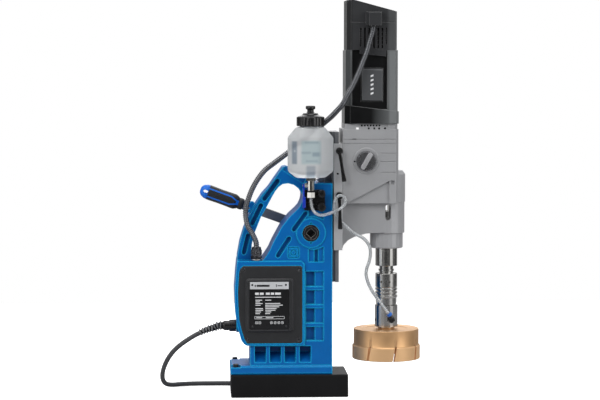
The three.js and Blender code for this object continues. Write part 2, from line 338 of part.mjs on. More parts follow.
// ------------------------------------------------------------------ drill unit: bracket, gear head
{
  let b = prismZ([[83, -50], [98.2, -50], [99, -49.2], [99, 49.2], [98.2, 50], [83, 50], [83, 36.4], [85.6, 36.4], [85.6, 42.4], [93.1, 42.4], [93.1, -42.4], [85.6, -42.4], [85.6, -36.4], [83, -36.4]], 276.6, 476);
  b = cut(b, cylY(92.4, 463, 3.4, -55, -40, 10), cylY(92.4, 379.5, 3.4, -55, -40, 10), cylY(90, 420, 2.2, -55, -45.5, 8));
  put('slide_bracket', b, LIGHT, 'drill', [91, 0, 373]);
  const lev = (n, hz, ax, az, r) => {
    let s = revY([[0, -63.8], [r, -63.8], [r, -50.6], [3, -50.6], [3, -43.4], [0, -43.4]], 92.4, hz, 14);
    const dx = ax - 92.4, dz = az - hz, L = Math.hypot(dx, dz), ux = dx / L, uz = dz / L, px = -uz, pz = ux, S = (a, w) => [92.4 + ux * a + px * w, hz + uz * a + pz * w];
    s = s.add(prismY([S(2, -r * 0.7), S(L * 0.55, -3.2), S(L - 2, -4.6), S(L, -3.4), S(L, 3.4), S(L - 2, 4.6), S(L * 0.55, 3.2), S(2, r * 0.7)], -63.4, -58));
    put(n, cut(s, cylY(92.4, hz, 2.6, -66, -62, 6)), BLACK, 'drill', [92.4, -58, hz]);
  };
  lev('clamp_lever_upper', 463, 101.6, 405.3, 6.6);
  lev('clamp_lever_lower', 379.5, 94, 316.5, 7);

  const blk = [[99.4, -50], [199.5, -50], [204.4, -42], [204.4, 42], [199.5, 50], [99.4, 50]];
  let h = prismZ(blk, 364, 503);
  h = h.add(prismZ([[103.7, -48], [197, -48], [202.6, -40], [202.6, 40], [197, 48], [103.7, 48]], 500, 513));
  h = h.add(prismY([[99.4, 366], [99.4, 276], [102, 284.5], [110.7, 294], [122, 300], [144.6, 306.4], [186, 308.5], [186, 366]], -34, 34));
  h = h.add(revZ([[0, 306], [33.6, 306], [34.3, 306.8], [34.3, 364.5], [35.5, 365.3], [35.5, 417], [30, 424], [0, 424]], SX, 0, 32));
  h = h.add(prismY(ngon(143.3, 444, 24.6, 24), -51.8, -45, 0.8));
  // interior: gear chamber open to the motor, spindle bore, intermediate shaft seat, dial shaft hole
  h = h.subtract(prismZ([[106, -44], [193, -44], [198.4, -36], [198.4, 36], [193, 44], [106, 44]], 388, 520));
  h = h.subtract(cylZ(SX, 0, 31, 388, 417, 24));
  h = h.subtract(cylZ(SX, 0, 21.3, 300, 390, 24));
  h = h.subtract(cylZ(IX, IY, 4.4, 377, 390, 10));
  h = h.subtract(cylY(143.3, 444, 5.6, -60, -40, 14));
  // recess below the diagonal edge, louvre recess, drift slot through both walls
  for (const s of [-1, 1]) {
    const side = (pts, d, y = 50) => (s < 0 ? prismY(pts, -y - 3, -y + d) : prismY(pts, y - d, y + 3));
    h = h.subtract(side([[112, 367.5], [187, 406.6], [187, 360], [112, 360]], 4));
    h = h.subtract(side(rectPts(189.2, 196.8, 399.4, 406.8), 3.5));
    h = h.subtract(side(stadium(186, 336.3, 186, 355.6, 5.3, 5), 18, 36));
    // two grooves right across, three ribs at the front half
    for (const z of [483.6, 475.8]) h = h.subtract(side(rectPts(99, 210, z, z + 1.2), 1));
    if (s < 0) for (const z of [457.6, 441.6, 421.6]) h = h.subtract(side(rectPts(170, 210, z, z + 1.2), 1));
    if (s < 0) h = h.subtract(side(stadium(118.6, 484.2, 123.4, 484.2, 1.5, 3), 3));
    // cooling air outlets under the motor joint
    h = h.subtract(side(rectPts(126, 184.5, 508.2, 514), 1.6, 48));
    for (let i = 0; i < 7; i++) h = h.subtract(side(rectPts(133.6 + i * 5.5, 137 + i * 5.5, 508.2, 511.6), 8, 48));
    if (s < 0) for (const x of [146.4, 156.8, 165.8, 176.8]) h = h.subtract(side(rectPts(x, x + 3.6, 502.7, 506.3), 8, 48));
    h = h.subtract(side(s < 0 ? rectPts(124.4, 129.6, 502.5, 506.3) : rectPts(130.4, 139, 498.4, 504.6), 8, s < 0 ? 48 : 50));
  }
  put('gear_housing', h, GREY, 'drill', [MX, 0, 440]);
  put('quill_nose', revZ([[22, 277.3], [29.6, 277.3], [31.2, 279], [31.2, 305.7], [22, 305.7]], SX, 0, 24), GREY, 'drill', [SX, 0, 290]);
  let d = revY([[0, -52.1], [19, -52.1], [18.6, -57.5], [17.2, -59], [0, -59]], 143.3, 444, 28);
  const a = 60 * Math.PI / 180, ux = Math.cos(a), uz = Math.sin(a), S = (p, w) => [143.3 + ux * p - uz * w, 444 + uz * p + ux * w];
  d = join(d, prismY([S(-18, -4.4), S(18, -4.4), S(18, 4.4), S(-18, 4.4)], -66, -58, 1), cylY(143.3, 444, 5.2, -53, -38, 14));
  put('speed_dial', d, GREY, 'drill', [143.3, -56, 444]);
}

// ------------------------------------------------------------------ gear train
{
  const aArm = Math.atan2(IY, IX - MX), aSpin = Math.atan2(-IY, SX - IX);
  let s = revZ([[0, 243], [20.2, 243], [20.7, 243.6], [20.7, 384], [14, 386], [14, 394.5], [11.5, 408], [11.5, 440], [0, 440]], SX, 0, 24);
  s = s.add(prismZ(gearPts(Z_SPIN, GEAR_M, aSpin + Math.PI, SX, 0), 394, 408));
  s = s.subtract(revZ([[0, 241], [12.7, 241], [12.3, 243], [9.2, 331], [0, 331]], SX, 0, 16));
  s = s.subtract(box(SX - 3.4, SX + 3.4, -30, 30, 347, 361));
  put('spindle', s, STEEL, 'spin', [SX, 0, 340]);
  let g = join(prismZ(gearPts(Z_SMALL, GEAR_M, aSpin + Math.PI / Z_SMALL, IX, IY), 393, 411), prismZ(gearPts(Z_BIG, GEAR_M, aArm + Math.PI, IX, IY), 410.5, 421.5), cylZ(IX, IY, 4, 378, 432, 10));
  put('intermediate_gear', g, STEEL, 'drill', [IX, IY, 430]);
  let r = join(prismZ(gearPts(Z_ARM, GEAR_M, aArm + Math.PI / Z_ARM, MX, 0), 411, 429), cylZ(MX, 0, 5, 427, 692, 12), revZ([[0, 524], [16, 524], [37.5, 526], [37.5, 535], [8, 537], [0, 537]], MX, 0, 20), cylZ(MX, 0, 22.5, 542, 618, 16), cylZ(MX, 0, 14, 634, 656, 16));
  put('motor_armature', r, STEEL, 'drill', [MX, 0, 580]);
}

// ------------------------------------------------------------------ motor
{
  const oct = (e, d = e) => [[105.4 - d, -38 - e * 0.4], [113.6 - d * 0.4, -50 - e], [197.6 + d * 0.4, -50 - e], [203 + d, -40 - e * 0.4], [203 + d, 40 + e * 0.4], [197.6 + d * 0.4, 50 + e], [113.6 - d * 0.4, 50 + e], [105.4 - d, 38 + e * 0.4]];
  let m = prismZ(oct(0), MOTOR_Z0, CAP_Z0 - 0.35);
  const skirt = prismZ(oct(2), MOTOR_Z0, 560).intersect(prismY([[100, 500], [210, 500], [210, 535.5], [100, 548.5]], -70, 70));
  for (const s of [-1, 1]) {
    const side = (pts, d) => (s < 0 ? prismY(pts, -55, -50 + d) : prismY(pts, 50 - d, 55));
    m = m.subtract(side([[116.5, 540], [182.5, 540], [182.5, 655], [116.5, 655]], 4.2));
    const P = (x, z, y) => [x, s * y, z];
    m = m.add(hull([P(133, 554, 45), P(175.5, 554, 45), P(133, 618, 45), P(175.5, 618, 45), P(135.5, 558, 49.6), P(173.2, 557, 49.6), P(135.5, 614.5, 49.6), P(173.2, 613, 49.6)]));
  }
  m = m.add(skirt);
  m = cut(m, cylZ(MX, 0, 40.8, 520.5, 660, 28), cylZ(MX, 0, 15, 505, 525, 20));
  put('motor_housing', m, DARK, 'drill', [MX, 0, 580]);
  let c = prismZ(oct(1, -2), CAP_Z0, 750).intersect(prismY([[100, 651], [210, 651], [210, 713], [201.5, 722], [118, 744.6], [100, 742.4]], -70, 70));
  c = c.subtract(prismZ([[112.4, -38], [118, -45.5], [191, -45.5], [196, -39], [196, 39], [191, 45.5], [118, 45.5], [112.4, 38]], 640, 706));
  for (const s of [-1, 1]) {
    const side = (pts, a, b) => (s < 0 ? prismY(pts, -b, -a) : prismY(pts, a, b));
    c = c.add(side([[131, 643.5], [180.4, 638.6], [180.4, 654], [131, 654]], 46.4, 50.9));
    c = c.subtract(side([[100, 702.3], [210, 702.3], [210, 703.7], [100, 703.7]], 50.2, 55));
    [132.8, 140.4, 148.6, 157.2, 165.1, 172.8, 180.4].forEach((x, i) => { c = c.subtract(side(rectPts(x - 1.8, x + 1.8, i === 6 ? 662 : i === 0 ? 657 : 653.5, 692), 40, 55)); });
  }
  c = c.add(hull([[142, -50, 699], [171.5, -50, 699], [142, -50, 722], [171.5, -50, 722], [147, -69.5, 696], [169.5, -69.5, 696], [147, -69.5, 720], [169.5, -69.5, 720], [147, -50, 696], [169.5, -50, 696]]));
  put('motor_cap', c, BLACK, 'drill', [MX, 0, 700]);
  put('motor_stator', revZ([[24, 542], [39.8, 542], [39.8, 618], [24, 618]], MX, 0, 20), STEEL, 'drill', [MX, 0, 580]);
}

// ------------------------------------------------------------------ arbor, coolant ring, cutter, pilot pin
{
  let a = revZ([[0, 124.9], [16.5, 124.9], [16.5, 168.5], [19.3, 168.5], [19.3, 183], [20.9, 184.5], [20.9, 199], [20.7, 201], [20.7, 228.4], [19.9, 229.2], [13.2, 229.2], [13.2, 242.6], [11.9, 242.6], [8.9, 328], [0, 328]], SX, 0, 20);
  a = cut(a, cylZ(SX, 0, 10, 120, 208, 16), cylZ(SX, 0, 4.6, 207, 226, 12));
  for (const t of [-33, 12]) { const q = (t - 90) * Math.PI / 180; a = a.subtract(revDir([[0, 0], [2, 0], [2, 9], [0, 9]], V(SX + 15 * Math.cos(q), 15 * Math.sin(q), 213), V(Math.cos(q), Math.sin(q), 0), 8)); }
  put('arbor', a, STEEL, 'spin', [SX, 0, 190]);
  let r = revZ([[17, 127.2], [22, 127.2], [22, 168], [17, 168]], SX, 0, 24);
  for (const t of [-72, 18.5]) { const q = (t - 90) * Math.PI / 180; r = r.subtract(revDir([[0, 0], [2.6, 0], [2.6, 12], [0, 12]], V(SX + 14 * Math.cos(q), 14 * Math.sin(q), 140.5), V(Math.cos(q), Math.sin(q), 0), 10)); }
  put('coolant_ring', r, STEEL, 'drill', [SX, 0, 147]);
  const dir = V(0.62, 0, -0.784);
  let f = revDir([[0, 0], [4.6, 0], [4.6, 4.6], [3.9, 5], [3.9, 10], [1.6, 17], [0, 17]], V(188.9, -29, 153.2), dir, 14);
  f = f.add(cylY(193.2, 140.8, 4.6, -33.5, -21.9, 14));
  put('coolant_fitting', f, BLACK, 'drill', [193, -29, 141]);

  let c = revZ([[0, 112], [0, 206], [9.4, 206], [9.4, 124.4], [15, 124.4], [15, 122], [39, CUT_Z1], [CUT_R, CUT_Z1], [CUT_R, 93], [CUT_R2, 91.6], [CUT_R2, CUT_Z0], [55, CUT_Z0], [55, 112]], SX, 0, 32);
  c = c.subtract(cylZ(SX, 0, 4.5, 100, 210, 12));
  const tilt = 9.5 * Math.PI / 180;
  for (let i = 0; i < 8; i++) {
    const q = (-90 - 34 + 45 * i) * Math.PI / 180;
    const m = new THREE.Matrix4().makeTranslation(SX, 0, 0).multiply(new THREE.Matrix4().makeRotationZ(q)).multiply(new THREE.Matrix4().makeTranslation(60, 0, 86)).multiply(new THREE.Matrix4().makeRotationX(-tilt));
    const deep = new THREE.BoxGeometry(22, 3, 36); deep.translate(0, 0, -9); deep.applyMatrix4(m);
    c = c.subtract(solid(deep));
  }
  put('annular_cutter', c, GOLD, 'spin', [SX, 0, 95]);
  put('pilot_pin', revZ([[0, 60.5], [4, 64.5], [4, 196], [0, 196]], SX, 0, 12), STEEL, 'spin', [SX, 0, 130]);
}

// ------------------------------------------------------------------ flexible runs held at both ends
// conduit from the shoulder gland behind the bottle to the motor's terminal block, in two lengths
const CONDUIT_A = [[-62, GY, 283.4], [-62.6, GY, 291.5], [-69, -42, 306.6], [-77.5, -42.5, 321.4], [-81.3, -43, 337], [-81.5, -43, 355.1], [-76.4, -43, 374.1], [-68.7, -42, 393.3], [-57.7, -40, 411.8], [-45.4, -37, 426.6], [-25.3, -30, 441.6], [-5.5, -23, 455.9], [11.5, -20, 469], [30.3, -20, 484]];
const CONDUIT_B = [[30.6, -20, 484.3], [49, -20, 499], [60, -23, 509], [69, -30, 517.5], [79, -40, 527], [88, -51, 537.5], [98, -60.5, 550], [107.2, -63, 567.1], [118.1, -63, 586.8], [126.7, -63, 606.1], [135.2, -62, 627.4], [142.4, -62, 645.7], [149.6, -62, 670.9], [154.6, -62, 688], [155.1, -62, 694.9]];
put('conduit_lower', sweep(CONDUIT_A, 5.4, 8, 15), CORD_M, 'base', CONDUIT_A[0]);
put('conduit_upper', sweep(CONDUIT_B, 5.4, 8, 15), CORD_M, 'drill', CONDUIT_B[14]);
// clear coolant tube from the valve round the lower clamp lever to the ring's fitting, in two lengths
const TUBE_A = [[39.2, -62, 375.9], [39.6, -62.2, 366], [43, -63, 353.2], [52.2, -65, 345], [65.2, -66, 344.9], [74, -66.6, 347.2], [79.6, -67, 349.4]];
const TUBE_B = [[80, -67, 349.6], [87, -67.4, 353.2], [94.5, -67.6, 359.4], [100.8, -67.8, 366.6], [101.8, -68, 373], [97, -68.4, 377.4], [91, -68.4, 376.8], [86.2, -67, 371.5], [83.6, -63, 362], [84.2, -57.5, 350], [88.5, -53.9, 339], [96, -53.7, 331], [106, -53.7, 321.5], [117, -52, 311.5], [129.5, -48, 303.8], [139, -45, 298], [147, -43, 289.4], [151.6, -41, 279], [152.3, -39.5, 266.2], [150, -38, 252.9], [146, -37, 241.5], [144.6, -36, 230.1], [147.5, -35, 216.7], [155.3, -33, 199.4], [163.9, -31, 187], [171.6, -30, 176.4], [181.2, -29, 163.1], [188.4, -29, 153.9]];
put('coolant_tube_a', sweep(TUBE_A, 3, 8, 9), CLEAR, 'base', TUBE_A[0]);
put('coolant_tube_b', sweep(TUBE_B, 3, 8, 36), CLEAR, 'drill', TUBE_B[27]);

export default drill_press;
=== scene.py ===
import bpy, bmesh, math
from mathutils import Vector, Matrix


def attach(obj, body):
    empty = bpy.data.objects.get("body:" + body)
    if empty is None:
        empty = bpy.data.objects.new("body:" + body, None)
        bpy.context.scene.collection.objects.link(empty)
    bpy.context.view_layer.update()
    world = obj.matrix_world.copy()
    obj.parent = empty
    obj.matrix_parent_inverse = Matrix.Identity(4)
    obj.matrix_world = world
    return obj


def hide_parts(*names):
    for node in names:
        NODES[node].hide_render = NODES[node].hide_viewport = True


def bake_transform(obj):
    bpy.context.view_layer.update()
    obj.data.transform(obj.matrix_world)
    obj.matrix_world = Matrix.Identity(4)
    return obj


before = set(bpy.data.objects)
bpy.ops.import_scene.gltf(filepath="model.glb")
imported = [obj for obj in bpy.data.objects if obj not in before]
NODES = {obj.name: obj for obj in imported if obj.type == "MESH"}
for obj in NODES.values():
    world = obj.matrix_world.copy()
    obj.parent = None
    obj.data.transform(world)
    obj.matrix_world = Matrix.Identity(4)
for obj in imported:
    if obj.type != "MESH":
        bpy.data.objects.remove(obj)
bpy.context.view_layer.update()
scene = bpy.context.scene
MM = 0.001
PX, PZ = 39.8, 309.0          # feed pinion axis
SX = 186.0                    # spindle axis
MX = 155.0                    # motor axis
GY = -41.5                    # conduit gland
BX, BY = 38.3, -62.0          # bottle axis
VX = 39.2                     # valve axis
LEVER = math.radians(20)

# ------------------------------------------------------------------ camera, floor, light
cam = bpy.data.objects.new("camera", bpy.data.cameras.new("camera"))
scene.collection.objects.link(cam)
cam.location = (-0.17755, -3.93751, 0.62618)
cam.rotation_euler = (math.radians(90 - 3.749), 0, math.radians(-2.9))
cam.data.sensor_width = 36
cam.data.lens = 125.3
cam.data.clip_end = 60
cam.data.dof.use_dof = False
scene.camera = cam
scene.view_settings.view_transform = "Standard"
scene.view_settings.look = "None"


def srgb(h):
    out = []
    for i in (0, 2, 4):
        c = int(h[i:i + 2], 16) / 255
        out.append(c / 12.92 if c <= 0.04045 else ((c + 0.055) / 1.055) ** 2.4)
    return out


def link(nt, a, b):
    nt.links.new(a, b)


world = bpy.data.worlds.new("studio")
scene.world = world
world.use_nodes = True
wt = world.node_tree
wt.nodes.clear()
w_out = wt.nodes.new("ShaderNodeOutputWorld")
w_mix = wt.nodes.new("ShaderNodeMixShader")
w_cam = wt.nodes.new("ShaderNodeBackground")
w_cam.inputs[0].default_value = (1, 1, 1, 1)
w_cam.inputs[1].default_value = 1.0
w_env = wt.nodes.new("ShaderNodeBackground")
w_env.inputs[1].default_value = 0.62
w_lp = wt.nodes.new("ShaderNodeLightPath")
w_tc = wt.nodes.new("ShaderNodeTexCoord")
w_sep = wt.nodes.new("ShaderNodeSeparateXYZ")
link(wt, w_tc.outputs["Generated"], w_sep.inputs[0])
# soft boxes and dark flags by direction: a ramp over the azimuth
w_at = wt.nodes.new("ShaderNodeMath"); w_at.operation = "ARCTAN2"
w_neg = wt.nodes.new("ShaderNodeMath"); w_neg.operation = "MULTIPLY"; w_neg.inputs[1].default_value = -1
link(wt, w_sep.outputs["Y"], w_neg.inputs[0])
link(wt, w_sep.outputs["X"], w_at.inputs[0])
link(wt, w_neg.outputs[0], w_at.inputs[1])
w_mr = wt.nodes.new("ShaderNodeMapRange")
w_mr.inputs[1].default_value = -math.pi
w_mr.inputs[2].default_value = math.pi
link(wt, w_at.outputs[0], w_mr.inputs[0])
w_ramp = wt.nodes.new("ShaderNodeValToRGB")
link(wt, w_mr.outputs[0], w_ramp.inputs[0])
els = w_ramp.color_ramp.elements
def azimuth(deg):
    return (deg + 180) / 360


stops = [(azimuth(d), v) for d, v in ((-180, 0.62), (-146, 0.55), (-130, 0.30), (-118, 0.10), (-96, 0.10), (-82, 0.35), (-72, 2.6), (-58, 2.6), (-48, 0.45), (-34, 0.14), (0, 0.05), (24, 0.10), (34, 0.5),
                                      (44, 2.0), (60, 2.0), (72, 0.30), (92, 0.10), (118, 0.09), (130, 0.30), (146, 0.55), (180, 0.62))]
els[0].position, els[0].color = stops[0][0], (stops[0][1],) * 3 + (1,)
els[1].position, els[1].color = stops[-1][0], (stops[-1][1],) * 3 + (1,)
for p, v in stops[1:-1]:
    e = els.new(p)
    e.color = (v, v, v, 1)
# brighter towards the ceiling
w_up = wt.nodes.new("ShaderNodeMapRange")
w_up.inputs[1].default_value = 0.16
w_up.inputs[2].default_value = 0.5
link(wt, w_sep.outputs["Z"], w_up.inputs[0])
w_cm = wt.nodes.new("ShaderNodeMix"); w_cm.data_type = "RGBA"
link(wt, w_up.outputs[0], w_cm.inputs["Factor"])
link(wt, w_ramp.outputs[0], w_cm.inputs[6])
w_cm.inputs[7].default_value = (1.0, 1.0, 1.02, 1)
link(wt, w_cm.outputs[2], w_env.inputs[0])
link(wt, w_lp.outputs["Is Camera Ray"], w_mix.inputs[0])
link(wt, w_env.outputs[0], w_mix.inputs[1])
link(wt, w_cam.outputs[0], w_mix.inputs[2])
link(wt, w_mix.outputs[0], w_out.inputs[0])


def light(name, loc, target, size, power, size_y=None):
    d = bpy.data.lights.new(name, "AREA")
    d.energy = power
    d.size = size
    if size_y:
        d.shape = "RECTANGLE"
        d.size_y = size_y
    o = bpy.data.objects.new(name, d)
    o.location = loc
    o.rotation_euler = (Vector(target) - Vector(loc)).to_track_quat("-Z", "Y").to_euler()
    scene.collection.objects.link(o)
    return o


light("key", (-1.6, -1.9, 1.9), (0.0, 0, 0.35), 1.3, 24)
light("fill", (1.9, -1.6, 1.1), (0.1, 0, 0.4), 1.2, 11)
light("top", (0.2, -0.3, 2.6), (0.05, 0, 0.3), 1.4, 12)
light("rim", (0.4, 2.2, 1.6), (0.05, 0, 0.4), 1.6, 14)


# ------------------------------------------------------------------ materials
def math_node(nt, op, a, b=None, clamp=False):
    n = nt.nodes.new("ShaderNodeMath")
    n.operation = op
    n.use_clamp = clamp
    for i, v in enumerate((a, b)):
        if v is None:
            continue
        if isinstance(v, (int, float)):
            n.inputs[i].default_value = v
        else:
            link(nt, v, n.inputs[i])
    return n.outputs[0]


def ramp_step(nt, v, a, b, lo=0.0, hi=1.0):
    n = nt.nodes.new("ShaderNodeMapRange")
    n.inputs[1].default_value = a
    n.inputs[2].default_value = b
    n.inputs[3].default_value = lo
    n.inputs[4].default_value = hi
    link(nt, v, n.inputs[0])
    return n.outputs[0]


def region_mask(nt, co, rg):
    """1 inside a box in millimetres, soft at its sides; abs_y mirrors it, amount scales it, fade = (axis, a, b) runs it from 0 at a to 1 at b"""
    sep = nt.nodes.new("ShaderNodeSeparateXYZ")
    link(nt, co, sep.inputs[0])
    soft = rg.get("soft", 0.5) * 0.001
    out = None
    ax = {"x": sep.outputs["X"], "y": sep.outputs["Y"], "z": sep.outputs["Z"]}
    if rg.get("abs_y"):
        ax["y"] = math_node(nt, "ABSOLUTE", ax["y"])
    for k in "xyz":
        if k not in rg:
            continue
        lo, hi = rg[k]
        for v, side in ((lo, 1), (hi, -1)):
            if v is None:
                continue
            m = ramp_step(nt, ax[k], v * 0.001 - soft, v * 0.001 + soft, 0 if side > 0 else 1, 1 if side > 0 else 0)
            out = m if out is None else math_node(nt, "MULTIPLY", out, m)
    if "fade" in rg:
        k, a, b = rg["fade"]
        m = ramp_step(nt, ax[k], a * 0.001, b * 0.001)
        out = m if out is None else math_node(nt, "MULTIPLY", out, m)
    if "amount" in rg:
        out = math_node(nt, "MULTIPLY", out, rg["amount"])
    return out


def material(name, color, rough=0.5, metal=0.0, coat=0.0, coat_rough=0.15, spec=None, grain=None, blotch=None, painted_edge_light=None,
             bevel=0.0007, rough_var=0.05, trans=0.0, ior=None, alpha=1.0, lines=None, aniso=0.0, recess_shade=0.0, color2=None, regions=()):
    """Principled surface whose colour, roughness and relief vary over the object's own coordinates, with painted
    highlight along edges and painted shade in recesses where asked.
    """
    m = bpy.data.materials.new(name)
    m.use_nodes = True
    nt = m.node_tree
    b = nt.nodes["Principled BSDF"]
    b.inputs["Metallic"].default_value = metal
    b.inputs["Roughness"].default_value = rough
    if spec is not None:
        b.inputs["Specular IOR Level"].default_value = spec
    if ior:
        b.inputs["IOR"].default_value = ior
    b.inputs["Coat Weight"].default_value = coat
    b.inputs["Coat Roughness"].default_value = coat_rough
    b.inputs["Transmission Weight"].default_value = trans
    b.inputs["Alpha"].default_value = alpha
    b.inputs["Anisotropic"].default_value = aniso
    tc = nt.nodes.new("ShaderNodeTexCoord")
    co = tc.outputs["Object"]
    rgb = list(color) + [1]
    blotch = blotch or (26, 0.10)
    n1 = nt.nodes.new("ShaderNodeTexNoise")
    n1.inputs["Scale"].default_value = blotch[0]
    n1.inputs["Detail"].default_value = 5
    n1.inputs["Roughness"].default_value = 0.6
    link(nt, co, n1.inputs["Vector"])
    r1 = nt.nodes.new("ShaderNodeMapRange")
    r1.inputs[1].default_value = 0.3
    r1.inputs[2].default_value = 0.7
    link(nt, n1.outputs[0], r1.inputs[0])
    mx = nt.nodes.new("ShaderNodeMix"); mx.data_type = "RGBA"
    link(nt, r1.outputs[0], mx.inputs["Factor"])
    c2 = color2 or [c * (1 + blotch[1]) for c in color]
    mx.inputs[6].default_value = [c * (1 - blotch[1]) for c in color] + [1]
    mx.inputs[7].default_value = list(c2) + [1]
    col = mx.outputs[2]
    for rg in regions:
        f = region_mask(nt, co, rg)
        mr = nt.nodes.new("ShaderNodeMix"); mr.data_type = "RGBA"
        link(nt, f, mr.inputs["Factor"])
        link(nt, col, mr.inputs[6])
        mr.inputs[7].default_value = list(rg["color"]) + [1]
        col = mr.outputs[2]
    # roughness
    n3 = nt.nodes.new("ShaderNodeTexNoise")
    n3.inputs["Scale"].default_value = 90
    n3.inputs["Detail"].default_value = 6
    link(nt, co, n3.inputs["Vector"])
    r3 = nt.nodes.new("ShaderNodeMapRange")
    r3.inputs[1].default_value = 0.25
    r3.inputs[2].default_value = 0.75
    r3.inputs[3].default_value = max(0.02, rough - rough_var)
    r3.inputs[4].default_value = min(1.0, rough + rough_var)
    link(nt, n3.outputs[0], r3.inputs[0])
    link(nt, r3.outputs[0], b.inputs["Roughness"])
    # normals: rounded edges, then grain
    normal = None
    if bevel:
        bv = nt.nodes.new("ShaderNodeBevel")
        bv.samples = 4
        bv.inputs["Radius"].default_value = bevel
        normal = bv.outputs[0]
    if lines:
        mp = nt.nodes.new("ShaderNodeMapping")
        mp.inputs["Scale"].default_value = lines[0]
        link(nt, co, mp.inputs["Vector"])
        nl = nt.nodes.new("ShaderNodeTexNoise")
        nl.inputs["Scale"].default_value = 1.0
        nl.inputs["Detail"].default_value = 3
        link(nt, mp.outputs[0], nl.inputs["Vector"])
        bl = nt.nodes.new("ShaderNodeBump")
        bl.inputs["Strength"].default_value = lines[1]
        bl.inputs["Distance"].default_value = 0.0001
        link(nt, nl.outputs[0], bl.inputs["Height"])
        if normal:
            link(nt, normal, bl.inputs["Normal"])
        normal = bl.outputs[0]
    if grain:
        n2 = nt.nodes.new("ShaderNodeTexNoise")
        n2.inputs["Scale"].default_value = grain[0]
        n2.inputs["Detail"].default_value = 4
        link(nt, co, n2.inputs["Vector"])
        bp = nt.nodes.new("ShaderNodeBump")
        bp.inputs["Strength"].default_value = grain[1]
        bp.inputs["Distance"].default_value = grain[2] if len(grain) > 2 else 0.0004
        link(nt, n2.outputs[0], bp.inputs["Height"])
        if normal:
            link(nt, normal, bp.inputs["Normal"])
        normal = bp.outputs[0]
    if normal:
        link(nt, normal, b.inputs["Normal"])
    # painted highlight along edges: the edge colour is mixed in where the rounded normal turns away from the face; a
    # darker edge colour, as on the dial, darkens the edges instead
    if painted_edge_light:
        be = nt.nodes.new("ShaderNodeBevel")
        be.samples = 4
        be.inputs["Radius"].default_value = painted_edge_light[0]
        ge = nt.nodes.new("ShaderNodeNewGeometry")
        dt = nt.nodes.new("ShaderNodeVectorMath"); dt.operation = "DOT_PRODUCT"
        link(nt, be.outputs[0], dt.inputs[0])
        link(nt, ge.outputs["Normal"], dt.inputs[1])
        me = nt.nodes.new("ShaderNodeMapRange")
        me.inputs[1].default_value = 0.995
        me.inputs[2].default_value = 0.86
        me.inputs[3].default_value = 0.0
        me.inputs[4].default_value = painted_edge_light[2]
        link(nt, dt.outputs["Value"], me.inputs[0])
        m2 = nt.nodes.new("ShaderNodeMix"); m2.data_type = "RGBA"
        link(nt, me.outputs[0], m2.inputs["Factor"])
        link(nt, col, m2.inputs[6])
        m2.inputs[7].default_value = list(painted_edge_light[1]) + [1]
        col = m2.outputs[2]
    # painted shade: the colour darkens in recesses and corners where ambient occlusion is low
    if recess_shade:
        ao = nt.nodes.new("ShaderNodeAmbientOcclusion")
        ao.samples = 4
        ao.inputs["Distance"].default_value = 0.02
        ma = nt.nodes.new("ShaderNodeMapRange")
        ma.inputs[1].default_value = 0.2
        ma.inputs[2].default_value = 0.9
        ma.inputs[3].default_value = recess_shade
        ma.inputs[4].default_value = 0.0
        link(nt, ao.outputs["AO"], ma.inputs[0])
        m3 = nt.nodes.new("ShaderNodeMix"); m3.data_type = "RGBA"
        link(nt, ma.outputs[0], m3.inputs["Factor"])
        link(nt, col, m3.inputs[6])
        m3.inputs[7].default_value = [c * 0.3 for c in color] + [1]
        col = m3.outputs[2]
    link(nt, col, b.inputs["Base Color"])
    return m


# painted highlight: the edge colours below tint edges lighter than the surface (on the dial they darken them); painted
# shade: the blue paint also darkens in recesses
BLUE = material("blue_paint", (0.0, 0.150, 0.50), 0.40, spec=0.22, coat=0.06, coat_rough=0.2, grain=(1500, 0.10, 0.0002), blotch=(14, 0.10),
                painted_edge_light=(0.0034, (0.01, 0.62, 1.0), 1.0), bevel=0.0013, recess_shade=0.6)
GREY = material("grey_paint", srgb("b0b1b3"), 0.38, metal=0.15, coat=0.15, grain=(1800, 0.10, 0.0002), blotch=(12, 0.07), painted_edge_light=(0.0016, (0.55, 0.55, 0.56), 0.5), bevel=0.001)
LIGHT = material("bracket_grey", srgb("cbccce"), 0.33, metal=0.3, grain=(1800, 0.08, 0.0002), blotch=(16, 0.08), painted_edge_light=(0.0016, (0.78, 0.78, 0.80), 0.6), bevel=0.001)
MAGNET = material("magnet_black", srgb("141415"), 0.55, spec=0.22, grain=(900, 0.12, 0.0002), blotch=(18, 0.2), painted_edge_light=(0.0012, (0.03, 0.03, 0.034), 0.6), bevel=0.0008)
PLASTIC = material("black_plastic", srgb("2c2d2f"), 0.45, spec=0.4, grain=(2200, 0.22, 0.0002), blotch=(40, 0.12), painted_edge_light=(0.0016, (0.12, 0.12, 0.125), 0.75), bevel=0.0009)
PLASTIC_D = material("black_gloss_plastic", srgb("151516"), 0.28, coat=0.2, grain=(2400, 0.06, 0.0002), blotch=(40, 0.15), painted_edge_light=(0.001, (0.06, 0.06, 0.065), 0.5), bevel=0.0007)
# painted shade and painted highlight: the casing's left strip is painted darker and its right strip lighter
MOTOR = material("motor_casing", srgb("6c6f70"), 0.32, metal=0.1, coat=0.2, grain=(2000, 0.10, 0.0002), blotch=(14, 0.12), painted_edge_light=(0.0014, (0.34, 0.35, 0.35), 0.55), bevel=0.0012,
                 regions=[dict(color=srgb("4d5051"), x=(None, 115), z=(514, None), soft=1.0), dict(color=srgb("838687"), x=(186, None), z=(514, None), soft=2.0),
                          dict(color=srgb("0c0d0e"), z=(None, 548), soft=0.4, fade=("x", 188, 152), abs_y=True, y=(20, None)),
                          dict(color=srgb("0b0c0d"), x=(115.8, 183.2), z=(536, 660), y=(40, 49.2), abs_y=True, soft=0.4),
                          dict(color=srgb("585a5c"), x=(134.6, 174.2), z=(556, 616), y=(47.4, 50.4), abs_y=True, soft=0.5)])
